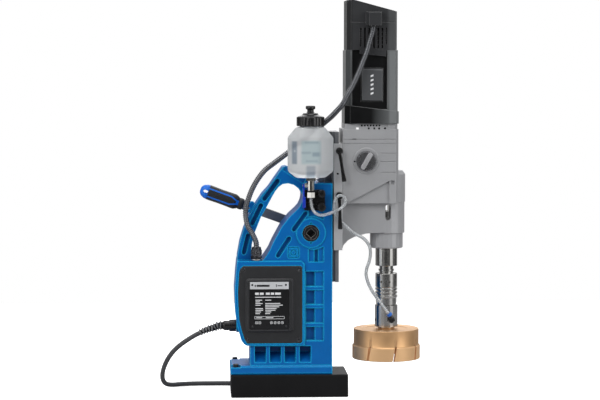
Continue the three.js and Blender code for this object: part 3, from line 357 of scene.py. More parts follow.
# painted shade and painted highlight: the cap's left strip is painted darker and its right strip lighter
CAPM = material("motor_cap_grey", srgb("353638"), 0.40, grain=(2200, 0.14, 0.0002), blotch=(12, 0.10), painted_edge_light=(0.0014, (0.16, 0.16, 0.165), 0.7), bevel=0.0010,
                regions=[dict(color=srgb("232425"), x=(None, 117), soft=1.2), dict(color=srgb("515354"), x=(184, None), soft=3.0)])
DARK = material("dark_steel", srgb("85878b"), 0.42, metal=0.5, lines=((0, 0, 1800), 0.25), blotch=(30, 0.14), painted_edge_light=(0.0008, (0.45, 0.45, 0.46), 0.5), bevel=0.0006)
STEEL = material("turned_steel", srgb("bdbcb9"), 0.2, metal=1.0, lines=((0, 0, 2600), 0.18), blotch=(30, 0.06), bevel=0.0004, rough_var=0.04)
BOLT = material("bolt_steel", srgb("343539"), 0.26, metal=0.75, blotch=(60, 0.2), grain=(1200, 0.06), bevel=0.0005, painted_edge_light=(0.0008, (0.4, 0.4, 0.42), 0.8))
STEEL2 = material("ground_steel", srgb("98999a"), 0.25, metal=1.0, lines=((0, 0, 2000), 0.2), blotch=(24, 0.10), bevel=0.0006)
GOLD = material("cutter_gold", srgb("dcae7c"), 0.40, metal=0.6, lines=((0, 0, 1500), 0.16), blotch=(10, 0.08), bevel=0.0006, painted_edge_light=(0.0009, (0.95, 0.72, 0.48), 0.5),
                regions=[dict(color=(0.98, 0.61, 0.31), z=(60, 92.6), soft=0.6, amount=1.0)])
COPPER = material("winding", srgb("b0693a"), 0.4, metal=0.9, lines=((0, 0, 900), 0.8), bevel=0.0006)
RESIN = material("resin", srgb("5a2a1c"), 0.5, grain=(300, 0.2), bevel=0.0006)
BOARD = material("board", srgb("1f5a3a"), 0.5, grain=(400, 0.2), bevel=0.0004)
RED = material("red_plastic", srgb("b4231f"), 0.3, coat=0.4, grain=(2200, 0.08), blotch=(30, 0.1), bevel=0.0009)
GREEN = material("green_plastic", srgb("1f8a3c"), 0.3, coat=0.4, grain=(2200, 0.08), blotch=(30, 0.1), bevel=0.0009)
PINION = material("pinion_steel", srgb("3e3f42"), 0.3, metal=0.85, lines=((0, 0, 1800), 0.1), blotch=(40, 0.14), painted_edge_light=(0.0014, (0.75, 0.74, 0.70), 0.9), bevel=0.0008)
NICKEL = material("nickel", srgb("c4c3bf"), 0.14, metal=1.0, blotch=(60, 0.05), grain=(900, 0.05), bevel=0.0006)
VBLUE = material("valve_blue", srgb("1440c8"), 0.3, coat=0.4, blotch=(60, 0.15), grain=(1500, 0.05), bevel=0.0008)
CABLE = material("cable_rubber", srgb("4a4b4d"), 0.5, grain=(1600, 0.15), blotch=(50, 0.12), bevel=0)
CONDUIT = material("conduit_plastic", srgb("5f6165"), 0.2, metal=0.8, coat=1.0, coat_rough=0.08, grain=(1800, 0.03), blotch=(40, 0.2), bevel=0, rough_var=0.03)
WHITE = material("print_white", srgb("f4f5f6"), 0.4, grain=(1500, 0.1, 0.00005), blotch=(80, 0.05), bevel=0)
PRINTG = material("print_grey", srgb("d4d6d8"), 0.4, metal=0.0, grain=(1500, 0.1, 0.00005), blotch=(60, 0.06), bevel=0)
PLATE = material("plate_black", srgb("0e0e10"), 0.3, coat=0.2, grain=(1800, 0.06, 0.00005), blotch=(50, 0.2), bevel=0.0004)
DIAL = material("dial_metal", srgb("8b8b8e"), 0.28, metal=0.8, lines=((500, 0, 500), 0.06), blotch=(40, 0.1), bevel=0.0006, painted_edge_light=(0.0012, (0.02, 0.02, 0.022), 0.9))
BRASS = material("brass_port", srgb("b08a52"), 0.25, metal=1.0, blotch=(90, 0.1), grain=(900, 0.05), bevel=0.0004)
COLLAR = material("collar_blue", srgb("1f74dd"), 0.3, coat=0.4, blotch=(90, 0.1), grain=(1500, 0.05), bevel=0.0004)


# ------------------------------------------------------------------ mesh helpers
def smooth(me, angle=35):
    for p in me.polygons:
        p.use_smooth = True
    me.set_sharp_from_angle(angle=math.radians(angle))


def build(name, bm, mat, body, angle=35, nodes=(), unit=MM):
    bmesh.ops.remove_doubles(bm, verts=bm.verts, dist=1e-6 / unit * 0.001 if unit != MM else 1e-4)
    bmesh.ops.recalc_face_normals(bm, faces=bm.faces)
    me = bpy.data.meshes.new(name)
    bm.to_mesh(me)
    bm.free()
    me.transform(Matrix.Scale(unit, 4))
    me.materials.append(mat)
    smooth(me, angle)
    o = bpy.data.objects.new(name, me)
    scene.collection.objects.link(o)
    if nodes:
        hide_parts(*nodes)
    if body:
        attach(o, body)
    return o


def add_poly(bm, loops_a, loops_b):
    """closed prism between two equal loops of points"""
    a = [bm.verts.new(p) for p in loops_a]
    b = [bm.verts.new(p) for p in loops_b]
    n = len(a)
    bm.faces.new(a)
    bm.faces.new(list(reversed(b)))
    for i in range(n):
        bm.faces.new((a[i], b[i], b[(i + 1) % n], a[(i + 1) % n]))
    return a + b


def bevel_bm(bm, width, segs=2, angle=30, verts=None):
    bmesh.ops.recalc_face_normals(bm, faces=bm.faces)
    vs = set(verts) if verts else None
    es = [e for e in bm.edges if len(e.link_faces) == 2 and e.calc_face_angle(0) > math.radians(angle) and (vs is None or (e.verts[0] in vs and e.verts[1] in vs))]
    bmesh.ops.bevel(bm, geom=es, offset=width, segments=segs, profile=0.5, affect="EDGES", clamp_overlap=True)


def prism_y(pts, y0, y1):
    return [(x, y0, z) for x, z in pts], [(x, y1, z) for x, z in pts]


def prism_x(pts, x0, x1):
    return [(x0, y, z) for y, z in pts], [(x1, y, z) for y, z in pts]


def rect(x0, x1, z0, z1):
    return [(x0, z0), (x1, z0), (x1, z1), (x0, z1)]


def rrect(x0, x1, z0, z1, r, n=4):
    out = []
    for cx, cz, a0 in ((x1 - r, z0 + r, -90), (x1 - r, z1 - r, 0), (x0 + r, z1 - r, 90), (x0 + r, z0 + r, 180)):
        for i in range(n + 1):
            a = math.radians(a0 + 90 * i / n)
            out.append((cx + r * math.cos(a), cz + r * math.sin(a)))
    return out


def ngon(cx, cz, r, n, ph=0.0):
    return [(cx + r * math.cos(ph + 2 * math.pi * i / n), cz + r * math.sin(ph + 2 * math.pi * i / n)) for i in range(n)]


def add_box(bm, x0, x1, y0, y1, z0, z1):
    return add_poly(bm, *prism_y(rect(x0, x1, z0, z1), y0, y1))


def add_lathe(bm, prof, centre, axis="Z", n=48, shape=None):
    """closed profile of (radius, height) turned about an axis through centre; shape(r, h, a) may change the radius"""
    ring = not (prof[0][0] == 0 and prof[-1][0] == 0)
    rows = []
    for r, h in prof:
        if r == 0:
            rows.append([bm.verts.new(place(0, h, 0, centre, axis))])
            continue
        rows.append([bm.verts.new(place(shape(r, h, 2 * math.pi * i / n) if shape else r, h, 2 * math.pi * i / n, centre, axis)) for i in range(n)])
    seq = list(zip(rows, rows[1:] + ([rows[0]] if ring else [])))
    if not ring:
        seq = list(zip(rows, rows[1:]))
    for a, b in seq:
        for i in range(n):
            j = (i + 1) % n
            if len(a) == 1 and len(b) == 1:
                continue
            if len(a) == 1:
                bm.faces.new((a[0], b[i], b[j]))
            elif len(b) == 1:
                bm.faces.new((a[i], b[0], a[j]))
            else:
                bm.faces.new((a[i], b[i], b[j], a[j]))
    return rows


def place(r, h, a, c, axis):
    x, y = r * math.cos(a), r * math.sin(a)
    if axis == "Z":
        return (c[0] + x, c[1] + y, h)
    if axis == "Y":
        return (c[0] + x, h, c[1] + y)
    return (h, c[0] + x, c[1] + y)


def lathe(name, prof, centre, mat, body, axis="Z", n=48, shape=None, nodes=(), angle=35):
    bm = bmesh.new()
    add_lathe(bm, prof, centre, axis, n, shape)
    return build(name, bm, mat, body, angle, nodes)


def catmull(pts, step=1.5):
    P = [Vector(p) for p in pts]
    ext = [P[0] * 2 - P[1]] + P + [P[-1] * 2 - P[-2]]
    raw = []
    for k in range(len(P) - 1):
        p0, p1, p2, p3 = ext[k:k + 4]
        d0, d1, d2 = ((p1 - p0).length ** 0.5, (p2 - p1).length ** 0.5, (p3 - p2).length ** 0.5)
        d1 = d1 if d1 > 1e-4 else 1.0
        d0 = d0 if d0 > 1e-4 else d1
        d2 = d2 if d2 > 1e-4 else d1
        t1 = ((p1 - p0) / d0 - (p2 - p0) / (d0 + d1) + (p2 - p1) / d1) * d1
        t2 = ((p2 - p1) / d1 - (p3 - p1) / (d1 + d2) + (p3 - p2) / d2) * d1
        for i in range(24):
            t = i / 24
            raw.append(p1 + t1 * t + (p1 * -3 + p2 * 3 - t1 * 2 - t2) * t * t + (p1 * 2 - p2 * 2 + t1 + t2) * t ** 3)
    raw.append(P[-1])
    return resample(raw, step)


def resample(raw, step):
    acc = [0.0]
    for a, b in zip(raw, raw[1:]):
        acc.append(acc[-1] + (b - a).length)
    total = acc[-1]
    n = max(2, int(round(total / step)))
    out, j = [], 0
    for i in range(n + 1):
        s = total * i / n
        while j < len(acc) - 2 and acc[j + 1] < s:
            j += 1
        d = acc[j + 1] - acc[j]
        t = 0 if d < 1e-12 else (s - acc[j]) / d
        out.append(raw[j].lerp(raw[j + 1], t))
    return out


def add_tube(bm, path, radius, sides=16, cap=True, inner=None):
    """tube of rings along path with a twist-free frame; radius is a number or a function of the arc length"""
    acc = 0.0
    t_prev = None
    n = None
    rings, inrings = [], []
    for i, p in enumerate(path):
        a = path[max(0, i - 1)]
        b = path[min(len(path) - 1, i + 1)]
        t = (b - a).normalized()
        if n is None:
            n = t.orthogonal().normalized()
        else:
            q = t_prev.rotation_difference(t)
            n = (q @ n).normalized()
            n = (n - t * n.dot(t)).normalized()
        bi = t.cross(n)
        if i:
            acc += (p - path[i - 1]).length
        r = radius(acc) if callable(radius) else radius
        rings.append([bm.verts.new(p + (n * math.cos(2 * math.pi * k / sides) + bi * math.sin(2 * math.pi * k / sides)) * r) for k in range(sides)])
        if inner:
            inrings.append([bm.verts.new(p + (n * math.cos(2 * math.pi * k / sides) + bi * math.sin(2 * math.pi * k / sides)) * inner) for k in range(sides)])
        t_prev = t
    for R, flip in ((rings, False), (inrings, True)):
        for a, b in zip(R, R[1:]):
            for k in range(sides):
                f = (a[k], a[(k + 1) % sides], b[(k + 1) % sides], b[k])
                bm.faces.new(f if not flip else tuple(reversed(f)))
    if inner:
        for a, b in ((rings[0], inrings[0]), (rings[-1], inrings[-1])):
            for k in range(sides):
                bm.faces.new((a[k], b[k], b[(k + 1) % sides], a[(k + 1) % sides]))
    elif cap:
        bm.faces.new(list(reversed(rings[0])))
        bm.faces.new(rings[-1])
    return acc


def boolean(o, *cutters, solver="EXACT"):
    """cuts the joined cutters out of o and removes them"""
    for c in cutters:
        md = o.modifiers.new("cut", "BOOLEAN")
        md.object = c
        md.operation = "DIFFERENCE"
        md.solver = solver
        md.use_self = True
    bpy.context.view_layer.update()
    dg = bpy.context.evaluated_depsgraph_get()
    me = bpy.data.meshes.new_from_object(o.evaluated_get(dg))
    o.modifiers.clear()
    old = o.data
    o.data = me
    bpy.data.meshes.remove(old)
    for c in cutters:
        bpy.data.objects.remove(c)
    smooth(o.data)
    return o


def raw_object(name, bm, unit=MM):
    bmesh.ops.recalc_face_normals(bm, faces=bm.faces)
    me = bpy.data.meshes.new(name)
    bm.to_mesh(me)
    bm.free()
    me.transform(Matrix.Scale(unit, 4))
    o = bpy.data.objects.new(name, me)
    scene.collection.objects.link(o)
    return o


# ------------------------------------------------------------------ floor
floor_me = bpy.data.meshes.new("floor")
floor_me.from_pydata([(-1.5, -1.3, -0.0006), (1.5, -1.3, -0.0006), (1.5, 1.5, -0.0006), (-1.5, 1.5, -0.0006)], [], [(0, 1, 2, 3)])
fm = bpy.data.materials.new("floor_white")
fm.use_nodes = True
ft = fm.node_tree
fb = ft.nodes["Principled BSDF"]
fb.inputs["Base Color"].default_value = (0.92, 0.92, 0.92, 1)
fb.inputs["Roughness"].default_value = 0.7
fb.inputs["Emission Color"].default_value = (1, 1, 1, 1)
fb.inputs["Emission Strength"].default_value = 0.78
# what the floor sends back on the object is that of a grey studio floor
fd = ft.nodes.new("ShaderNodeBsdfDiffuse")
fd.inputs[0].default_value = (0.45, 0.45, 0.46, 1)
fl = ft.nodes.new("ShaderNodeLightPath")
fx = ft.nodes.new("ShaderNodeMixShader")
link(ft, fl.outputs["Is Camera Ray"], fx.inputs[0])
link(ft, fd.outputs[0], fx.inputs[1])
link(ft, fb.outputs[0], fx.inputs[2])
link(ft, fx.outputs[0], ft.nodes["Material Output"].inputs[0])
floor_me.materials.append(fm)
floor = bpy.data.objects.new("floor", floor_me)
scene.collection.objects.link(floor)

# ------------------------------------------------------------------ mains cord
BOOT = [(-124.5, 0, 130), (-133, 0, 129.2), (-142, 0, 126), (-152, 0, 123.2), (-161, 0, 119.8), (-169, 0, 115.8)]
CORD = [(-169.4, 0, 115.6), (-178, 0.2, 111.2), (-187, 0.8, 105.8), (-196, 2, 99.8), (-204.8, 4, 93.2), (-213, 7, 85.8), (-221, 11, 76.8), (-228, 16, 66.4),
        (-233.8, 22.5, 54.5), (-238.1, 31, 41.5), (-239.9, 41.5, 29), (-238.5, 54, 17.5), (-233, 68, 9), (-222, 80, 5.2), (-207, 88.5, 4.8), (-190, 93.5, 4.8),
        (-171, 96, 4.8), (-150, 96.5, 4.8), (-128, 96, 4.8), (-106, 95, 4.8), (-85, 94, 4.8), (-68, 93.6, 4.8)]
COIL = (-30.0, 160.0)


def coil_points():
    """the stored length: in at the outside on the floor, inwards three turns, up one layer, outwards three turns, out to the plug"""
    out = []
    turns_a, turns_b = 3.0, 3.0
    r_out, r_in = 61.9, 43.7
    n = 22
    total = int((turns_a + turns_b) * n)
    for i in range(total + 1):
        tt = i / n
        a = math.radians(-90) + 2 * math.pi * tt
        if tt <= turns_a:
            r = r_out + (r_in - r_out) * min(1, tt / (turns_a - 0.55)) if tt > 0 else r_out
            z = 4.8
        else:
            u = tt - turns_a
            r = r_in + (r_out - r_in) * max(0, (u - 0.55) / (turns_b - 0.55))
            z = 13.9
        # the climb takes a third of a turn at the inside
        c = (tt - (turns_a - 0.17)) / 0.34
        if 0 < c < 1:
            s = c * c * (3 - 2 * c)
            z = 4.8 + 9.1 * s
        elif c >= 1:
            z = 13.9
        out.append((COIL[0] + r * math.cos(a), COIL[1] + r * math.sin(a), z))
    return out


route = [Vector(p) for p in BOOT[:-1]] + [Vector(p) for p in CORD] + [Vector((-50, 95.2, 4.8))]
coil = coil_points()
route += [Vector(p) for p in coil[:-1]]
route += [Vector((-30, 98.1, 14.2)), Vector((-18, 97.8, 15.8)), Vector((-6, 97.6, 17.6)), Vector((2, 97.6, 18.4)), Vector((7.5, 97.6, 18.6))]
cord_path = catmull([tuple(p) for p in route], 4.0)
cu = bpy.data.curves.new("mains_lead", "CURVE")
cu.dimensions = "3D"
sp = cu.splines.new("POLY")
sp.points.add(len(cord_path) - 1)
for q, p in zip(sp.points, cord_path):
    q.co = (p.x * MM, p.y * MM, p.z * MM, 1)
cu.bevel_depth = 4.5 * MM
cu.bevel_resolution = 4
cu.use_fill_caps = True
cu.materials.append(CABLE)
lead = bpy.data.objects.new("mains_lead", cu)
scene.collection.objects.link(lead)
sp.use_smooth = True
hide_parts("mains_cord", "cord_coil")
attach(lead, "root")

# the tie that holds the coil
bm = bmesh.new()
tie = []
for i in range(25):
    a = 2 * math.pi * i / 24
    # a rounded rectangle around the bundle's section at angle 60 degrees
    hw, hh = 14.9, 10.0
    ex = 4
    cr = abs(math.cos(a)) ** (2 / ex) * (1 if math.cos(a) >= 0 else -1) * hw * 0.98
    cz = abs(math.sin(a)) ** (2 / ex) * (1 if math.sin(a) >= 0 else -1) * hh * 0.95
    tie.append((52.8 + cr, 9.9 + cz))
th = math.radians(60)
rd, tg = Vector((math.cos(th), math.sin(th), 0)), Vector((-math.sin(th), math.cos(th), 0))
outer, inner_l = [], []
for (r, z) in tie[:-1]:
    base = Vector((COIL[0], COIL[1], 0)) + rd * r + Vector((0, 0, z))
    mid = Vector((COIL[0], COIL[1], 0)) + rd * 52.8 + Vector((0, 0, 9.9))
    inw = mid + (base - mid) * 0.955
    outer.append((base - tg * 3.5, base + tg * 3.5))
    inner_l.append((inw - tg * 3.5, inw + tg * 3.5))
vo = [[bm.verts.new(p) for p in pr] for pr in outer]
vi = [[bm.verts.new(p) for p in pr] for pr in inner_l]
for i in range(24):
    j = (i + 1) % 24
    bm.faces.new((vo[i][0], vo[i][1], vo[j][1], vo[j][0]))
    bm.faces.new((vi[i][0], vi[j][0], vi[j][1], vi[i][1]))
    bm.faces.new((vo[i][0], vo[j][0], vi[j][0], vi[i][0]))
    bm.faces.new((vo[i][1], vi[i][1], vi[j][1], vo[j][1]))
tie_o = build("cord_tie", bm, PLASTIC_D, "root")

# strain relief: a ringed sleeve that tapers towards the cord
boot_path = catmull(BOOT, 0.9)
boot_len = sum((b - a).length for a, b in zip(boot_path, boot_path[1:]))


def boot_r(s):
    base = 9.2 - 2.5 * s / boot_len
    if s < 2.6:
        return base - 2.4
    ph = ((s - 2.6) % 5.7) / 5.7
    k = 0.5 - 0.5 * math.cos(2 * math.pi * ph / 0.58) if ph < 0.58 else 0.0
    return base - 2.4 + 2.4 * min(1, k * 1.9)


# painted highlight and painted shade: the ribs take a lighter grey and the grooves near black, two tones of one rubber
# sleeve
BOOT_RIB_HIGHLIGHT = material("boot_rib_highlight", srgb("7a7b7c"), 0.42, spec=0.5, grain=(1600, 0.12, 0.0002), blotch=(60, 0.14), bevel=0)
BOOT_GROOVE_SHADE = material("boot_groove_shade", srgb("0b0b0c"), 0.6, spec=0.2, grain=(1600, 0.12, 0.0002), blotch=(60, 0.2), bevel=0)
bm = bmesh.new()
add_tube(bm, boot_path, boot_r, 24)
boot_o = build("ringed_boot", bm, BOOT_RIB_HIGHLIGHT, "root", nodes=("cord_boot",), angle=60)
boot_o.data.materials.append(BOOT_GROOVE_SHADE)
boot_acc = [0.0]
for p0, p1 in zip(boot_path, boot_path[1:]):
    boot_acc.append(boot_acc[-1] + (p1 - p0).length)
# ribs get the lighter grey of the painted highlight, grooves the near black of the painted shade
for f in boot_o.data.polygons:
    c = f.center / MM
    i = min(range(len(boot_path)), key=lambda j: (boot_path[j] - c).length)
    ph = ((boot_acc[i] - 2.6) % 5.7) / 5.7
    f.material_index = 0 if boot_acc[i] > 2.6 and 0.03 < ph < 0.55 else 1
# the collar between the gland and the first ring
bm = bmesh.new()
add_lathe(bm, [(4.6, -124.9), (7.4, -124.9), (7.6, -124.4), (7.6, -122.2), (4.6, -122.2)], (0, 130), "X", 32)
collar_o = build("boot_collar", bm, PLASTIC_D, "root")

# ------------------------------------------------------------------ conduit and coolant tube
CONDUIT_A = [(-62, GY, 283.4), (-62.6, GY, 291.5), (-69, -42, 306.6), (-77.5, -42.5, 321.4), (-81.3, -43, 337), (-81.5, -43, 355.1), (-76.4, -43, 374.1), (-68.7, -42, 393.3),
             (-57.7, -40, 411.8), (-45.4, -37, 426.6), (-25.3, -30, 441.6), (-5.5, -23, 455.9), (11.5, -20, 469), (30.3, -20, 484)]
CONDUIT_B = [(30.6, -20, 484.3), (49, -20, 499), (60, -23, 509), (69, -30, 517.5), (79, -40, 527), (88, -51, 537.5), (98, -60.5, 550), (107.2, -63, 567.1), (118.1, -63, 586.8),
             (126.7, -63, 606.1), (135.2, -62, 627.4), (142.4, -62, 645.7), (149.6, -62, 670.9), (154.6, -62, 688), (155.1, -62, 694.9)]
TUBE_A = [(39.2, -62, 375.9), (39.6, -62.2, 366), (43, -65.6, 353.2), (50.6, -69.4, 345.6), (58, -70.6, 344), (66.5, -70.2, 345), (74, -68.4, 347.2), (79.6, -67, 349.4)]
TUBE_B = [(80, -67, 349.6), (87, -67.4, 352.4), (94.6, -67.6, 356.8), (101.4, -67.8, 363.6), (103.4, -68.2, 371.6), (99.8, -68.6, 378.4), (92.6, -68.8, 380.4), (86, -67.6, 375.8),
          (83, -63.6, 365.6), (83.6, -57.8, 352.6), (88.2, -54, 340.4), (96, -53.7, 331), (106, -53.7, 321.5), (117, -52, 311.5), (129.5, -48, 303.8), (139, -45, 298),
          (147, -43, 289.4), (151.6, -41, 279), (152.3, -39.5, 266.2), (150, -38, 252.9), (146, -37, 241.5), (144.6, -36, 230.1), (147.5, -35, 216.7), (155.3, -33, 199.4),
          (163.9, -31, 187), (171.6, -30, 176.4), (181.2, -29, 163.1), (188.4, -29, 153.9)]


def hose(name, pts, node, mat, d, ribs=None, inner=None, step=1.2, sides=14):
    path = catmull(pts, step)
    bm = bmesh.new()
    if ribs:
        pitch, depth = ribs
        rad = lambda s: d / 2 - depth * (0.5 - 0.5 * math.cos(2 * math.pi * s / pitch)) ** 1.5
    else:
        rad = d / 2
    L = add_tube(bm, path, rad, sides, inner=inner)
    o = build(name, bm, mat, None, 75, (node,))
    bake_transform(o)
    return o, L


con_a, LA = hose("conduit_rear", CONDUIT_A, "conduit_lower", CONDUIT, 10.8, ribs=(3.5, 1.0), step=0.58, sides=20)
con_b, LB = hose("conduit_front", CONDUIT_B, "conduit_upper", CONDUIT, 10.8, ribs=(3.5, 1.0), step=0.58, sides=20)


def clear_material():
    m = bpy.data.materials.new("clear_tube")
    m.use_nodes = True
    nt = m.node_tree
    b = nt.nodes["Principled BSDF"]
    b.inputs["Roughness"].default_value = 0.2
    b.inputs["IOR"].default_value = 1.16
    b.inputs["Transmission Weight"].default_value = 0.8
    b.inputs["Coat Weight"].default_value = 1.0
    b.inputs["Coat Roughness"].default_value = 0.08
    b.inputs["Coat IOR"].default_value = 1.7
    tc = nt.nodes.new("ShaderNodeTexCoord")
    n = nt.nodes.new("ShaderNodeTexNoise")
    n.inputs["Scale"].default_value = 60
    link(nt, tc.outputs["Object"], n.inputs["Vector"])
    mx = nt.nodes.new("ShaderNodeMix"); mx.data_type = "RGBA"
    link(nt, n.outputs[0], mx.inputs["Factor"])
    mx.inputs[6].default_value = (0.86, 0.89, 0.90, 1)
    mx.inputs[7].default_value = (0.95, 0.97, 0.98, 1)
    link(nt, mx.outputs[2], b.inputs["Base Color"])
    bp = nt.nodes.new("ShaderNodeBump")
    bp.inputs["Strength"].default_value = 0.1
    bp.inputs["Distance"].default_value = 0.0003
    n2 = nt.nodes.new("ShaderNodeTexNoise")
    n2.inputs["Scale"].default_value = 220
    link(nt, tc.outputs["Object"], n2.inputs["Vector"])
    link(nt, n2.outputs[0], bp.inputs["Height"])
    link(nt, bp.outputs[0], b.inputs["Normal"])
    return m


CLEAR = clear_material()
tub_a, LC = hose("tube_supply", TUBE_A, "coolant_tube_a", CLEAR, 6.0, inner=2.0, step=1.4, sides=16)
tub_b, LD = hose("tube_feed", TUBE_B, "coolant_tube_b", CLEAR, 6.0, inner=2.0, step=1.4, sides=16)

# ------------------------------------------------------------------ materials of the carried-over nodes
CARRY = {
    "magnet_block": MAGNET, "magnet_coil": COPPER, "magnet_potting": RESIN, "frame_casting": BLUE, "base_bolt_near": BOLT, "base_bolt_far": BOLT,
    "side_cover": PLASTIC, "data_plate": PLATE, "cover_screw_1": BOLT, "cover_screw_2": BOLT, "cover_screw_3": BOLT, "cover_screw_4": BOLT,
    "control_board": BOARD, "control_panel": PLASTIC, "magnet_switch": RED, "start_button": GREEN, "stop_button": RED, "speed_knob": PLASTIC_D,
    "conduit_gland": BOLT, "cord_gland": PLASTIC_D, "mains_plug": PLASTIC, "pinion_shaft": PINION, "pinion_bush_near": BOLT, "pinion_bush_far": BOLT,
    "feed_lever_bar": DARK, "slide_plate": DARK, "gib_strip": STEEL2, "bottle_bracket": PLASTIC_D, "valve_body": NICKEL, "valve_lever": VBLUE,
    "slide_bracket": LIGHT, "gear_housing": GREY, "quill_nose": GREY, "speed_dial": DIAL, "spindle": STEEL, "intermediate_gear": STEEL2,
    "motor_armature": STEEL2, "motor_housing": MOTOR, "motor_cap": CAPM, "motor_stator": STEEL2, "arbor": STEEL, "coolant_ring": STEEL,
    "coolant_fitting": PLASTIC_D, "pilot_pin": STEEL, "annular_cutter": GOLD, "feed_lever_grip": PLASTIC, "coolant_bottle": PLASTIC, "bottle_cap": PLASTIC_D,
    "cap_spout": PLASTIC_D, "bracket_knob_upper": PLASTIC_D, "bracket_knob_lower": PLASTIC_D, "clamp_lever_upper": PLASTIC_D, "clamp_lever_lower": PLASTIC_D,
    "conduit_lower": CABLE, "conduit_upper": CABLE, "coolant_tube_a": CLEAR, "coolant_tube_b": CLEAR, "mains_cord": CABLE, "cord_coil": CABLE, "cord_boot": CABLE,
}
for n, m in CARRY.items():
    o = NODES[n]
    o.data.materials.clear()
    o.data.materials.append(m)
    for a in ("custom_normal",):
        if a in o.data.attributes:
            o.data.attributes.remove(o.data.attributes[a])
    smooth(o.data, 32)

# ------------------------------------------------------------------ feed lever grip
CA, SA = math.cos(LEVER), math.sin(LEVER)


def lever(r, t, y):
    return (PX - r * CA - t * SA, y, PZ + r * SA - t * CA)


def grip_material():
    m = material("grip_rubber", srgb("26282b"), 0.5, grain=(2200, 0.3, 0.0003), blotch=(30, 0.14), painted_edge_light=(0.001, (0.08, 0.085, 0.09), 0.4), bevel=0.0008)
    nt = m.node_tree
    b = nt.nodes["Principled BSDF"]
    old = b.inputs["Base Color"].links[0].from_socket
    tc = nt.nodes.new("ShaderNodeTexCoord")
    sep = nt.nodes.new("ShaderNodeSeparateXYZ")
    link(nt, tc.outputs["Object"], sep.inputs[0])
    x = math_node(nt, "SUBTRACT", sep.outputs["X"], PX * MM)
    z = math_node(nt, "SUBTRACT", sep.outputs["Z"], PZ * MM)
    r = math_node(nt, "SUBTRACT", math_node(nt, "MULTIPLY", z, SA), math_node(nt, "MULTIPLY", x, CA))
    t = math_node(nt, "ABSOLUTE", math_node(nt, "ADD", math_node(nt, "MULTIPLY", x, SA), math_node(nt, "MULTIPLY", z, CA)))
    end = ramp_step(nt, r, 0.2030, 0.2034)
    # two thin lines along the grip that run together at the front, and a tab behind the collar
    c = math_node(nt, "ADD", 0.0078, math_node(nt, "MULTIPLY", ramp_step(nt, r, 0.146, 0.158, 1, 0), -0.0045))
    d = math_node(nt, "ABSOLUTE", math_node(nt, "SUBTRACT", t, c))
    ln = ramp_step(nt, d, 0.0012, 0.0016, 1, 0)
    ln = math_node(nt, "MULTIPLY", ln, ramp_step(nt, r, 0.146, 0.1464))
    tab = math_node(nt, "MULTIPLY", ramp_step(nt, r, 0.1415, 0.1418), ramp_step(nt, r, 0.1462, 0.1465, 1, 0))
    tab = math_node(nt, "MULTIPLY", tab, ramp_step(nt, t, 0.0046, 0.0049, 1, 0))
    f = math_node(nt, "MAXIMUM", math_node(nt, "MAXIMUM", end, ln), tab)
    mx = nt.nodes.new("ShaderNodeMix"); mx.data_type = "RGBA"
    link(nt, f, mx.inputs["Factor"])
    link(nt, old, mx.inputs[6])
    mx.inputs[7].default_value = srgb("0a74e6") + [1]
    link(nt, mx.outputs[2], b.inputs["Base Color"])
    return m


bm = bmesh.new()
secs = [(131.4, 8.6, 8.2), (132.4, 10.4, 9.8), (134, 11.0, 10.4), (139.2, 11.2, 10.6), (140.6, 10.6, 10.0), (141.6, 10.7, 10.1), (143.4, 12.0, 11.0), (148.5, 14.3, 12.7), (153, 14.5, 12.9),
        (165, 14.1, 12.5), (180, 13.9, 12.3), (194, 14.3, 12.7), (202.4, 14.3, 12.7), (203.0, 13.7, 12.2), (203.7, 14.0, 12.5), (208, 13.4, 12.0), (212.5, 11.6, 10.6), (215.8, 9.2, 8.4), (218.0, 6.2, 5.6), (218.9, 3.0, 2.6)]
rows = []
NG = 40
for r, ht, hy in secs:
    row = []
    for k in range(NG):
        a = 2 * math.pi * k / NG
        e = 2 / 3.0
        c, s_ = math.cos(a), math.sin(a)
        t = (abs(c) ** e) * (1 if c >= 0 else -1) * ht
        y = 80 + (abs(s_) ** e) * (1 if s_ >= 0 else -1) * hy
        row.append(bm.verts.new(lever(r, t, y)))
    rows.append(row)
for a, b in zip(rows, rows[1:]):
    for k in range(NG):
        bm.faces.new((a[k], a[(k + 1) % NG], b[(k + 1) % NG], b[k]))
bm.faces.new(rows[0]); bm.faces.new(list(reversed(rows[-1])))
grip = build("lever_grip", bm, grip_material(), None, 50)
cb = bmesh.new()
hx, hy_, hz = lever(208.0, 0, 0)
hole = [(hx + px, hz + pz) for px, pz in [(-(CA * u) - SA * v, SA * u - CA * v) for u, v in
        [(3.2 * math.cos(2 * math.pi * i / 24) + (1.6 if math.cos(2 * math.pi * i / 24) > 0 else -1.6), 3.0 * math.sin(2 * math.pi * i / 24)) for i in range(24)]]]
add_poly(cb, *prism_y(hole, 60, 100))
boolean(grip, raw_object("cut_a", cb))
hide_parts("feed_lever_grip")
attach(grip, "lever")

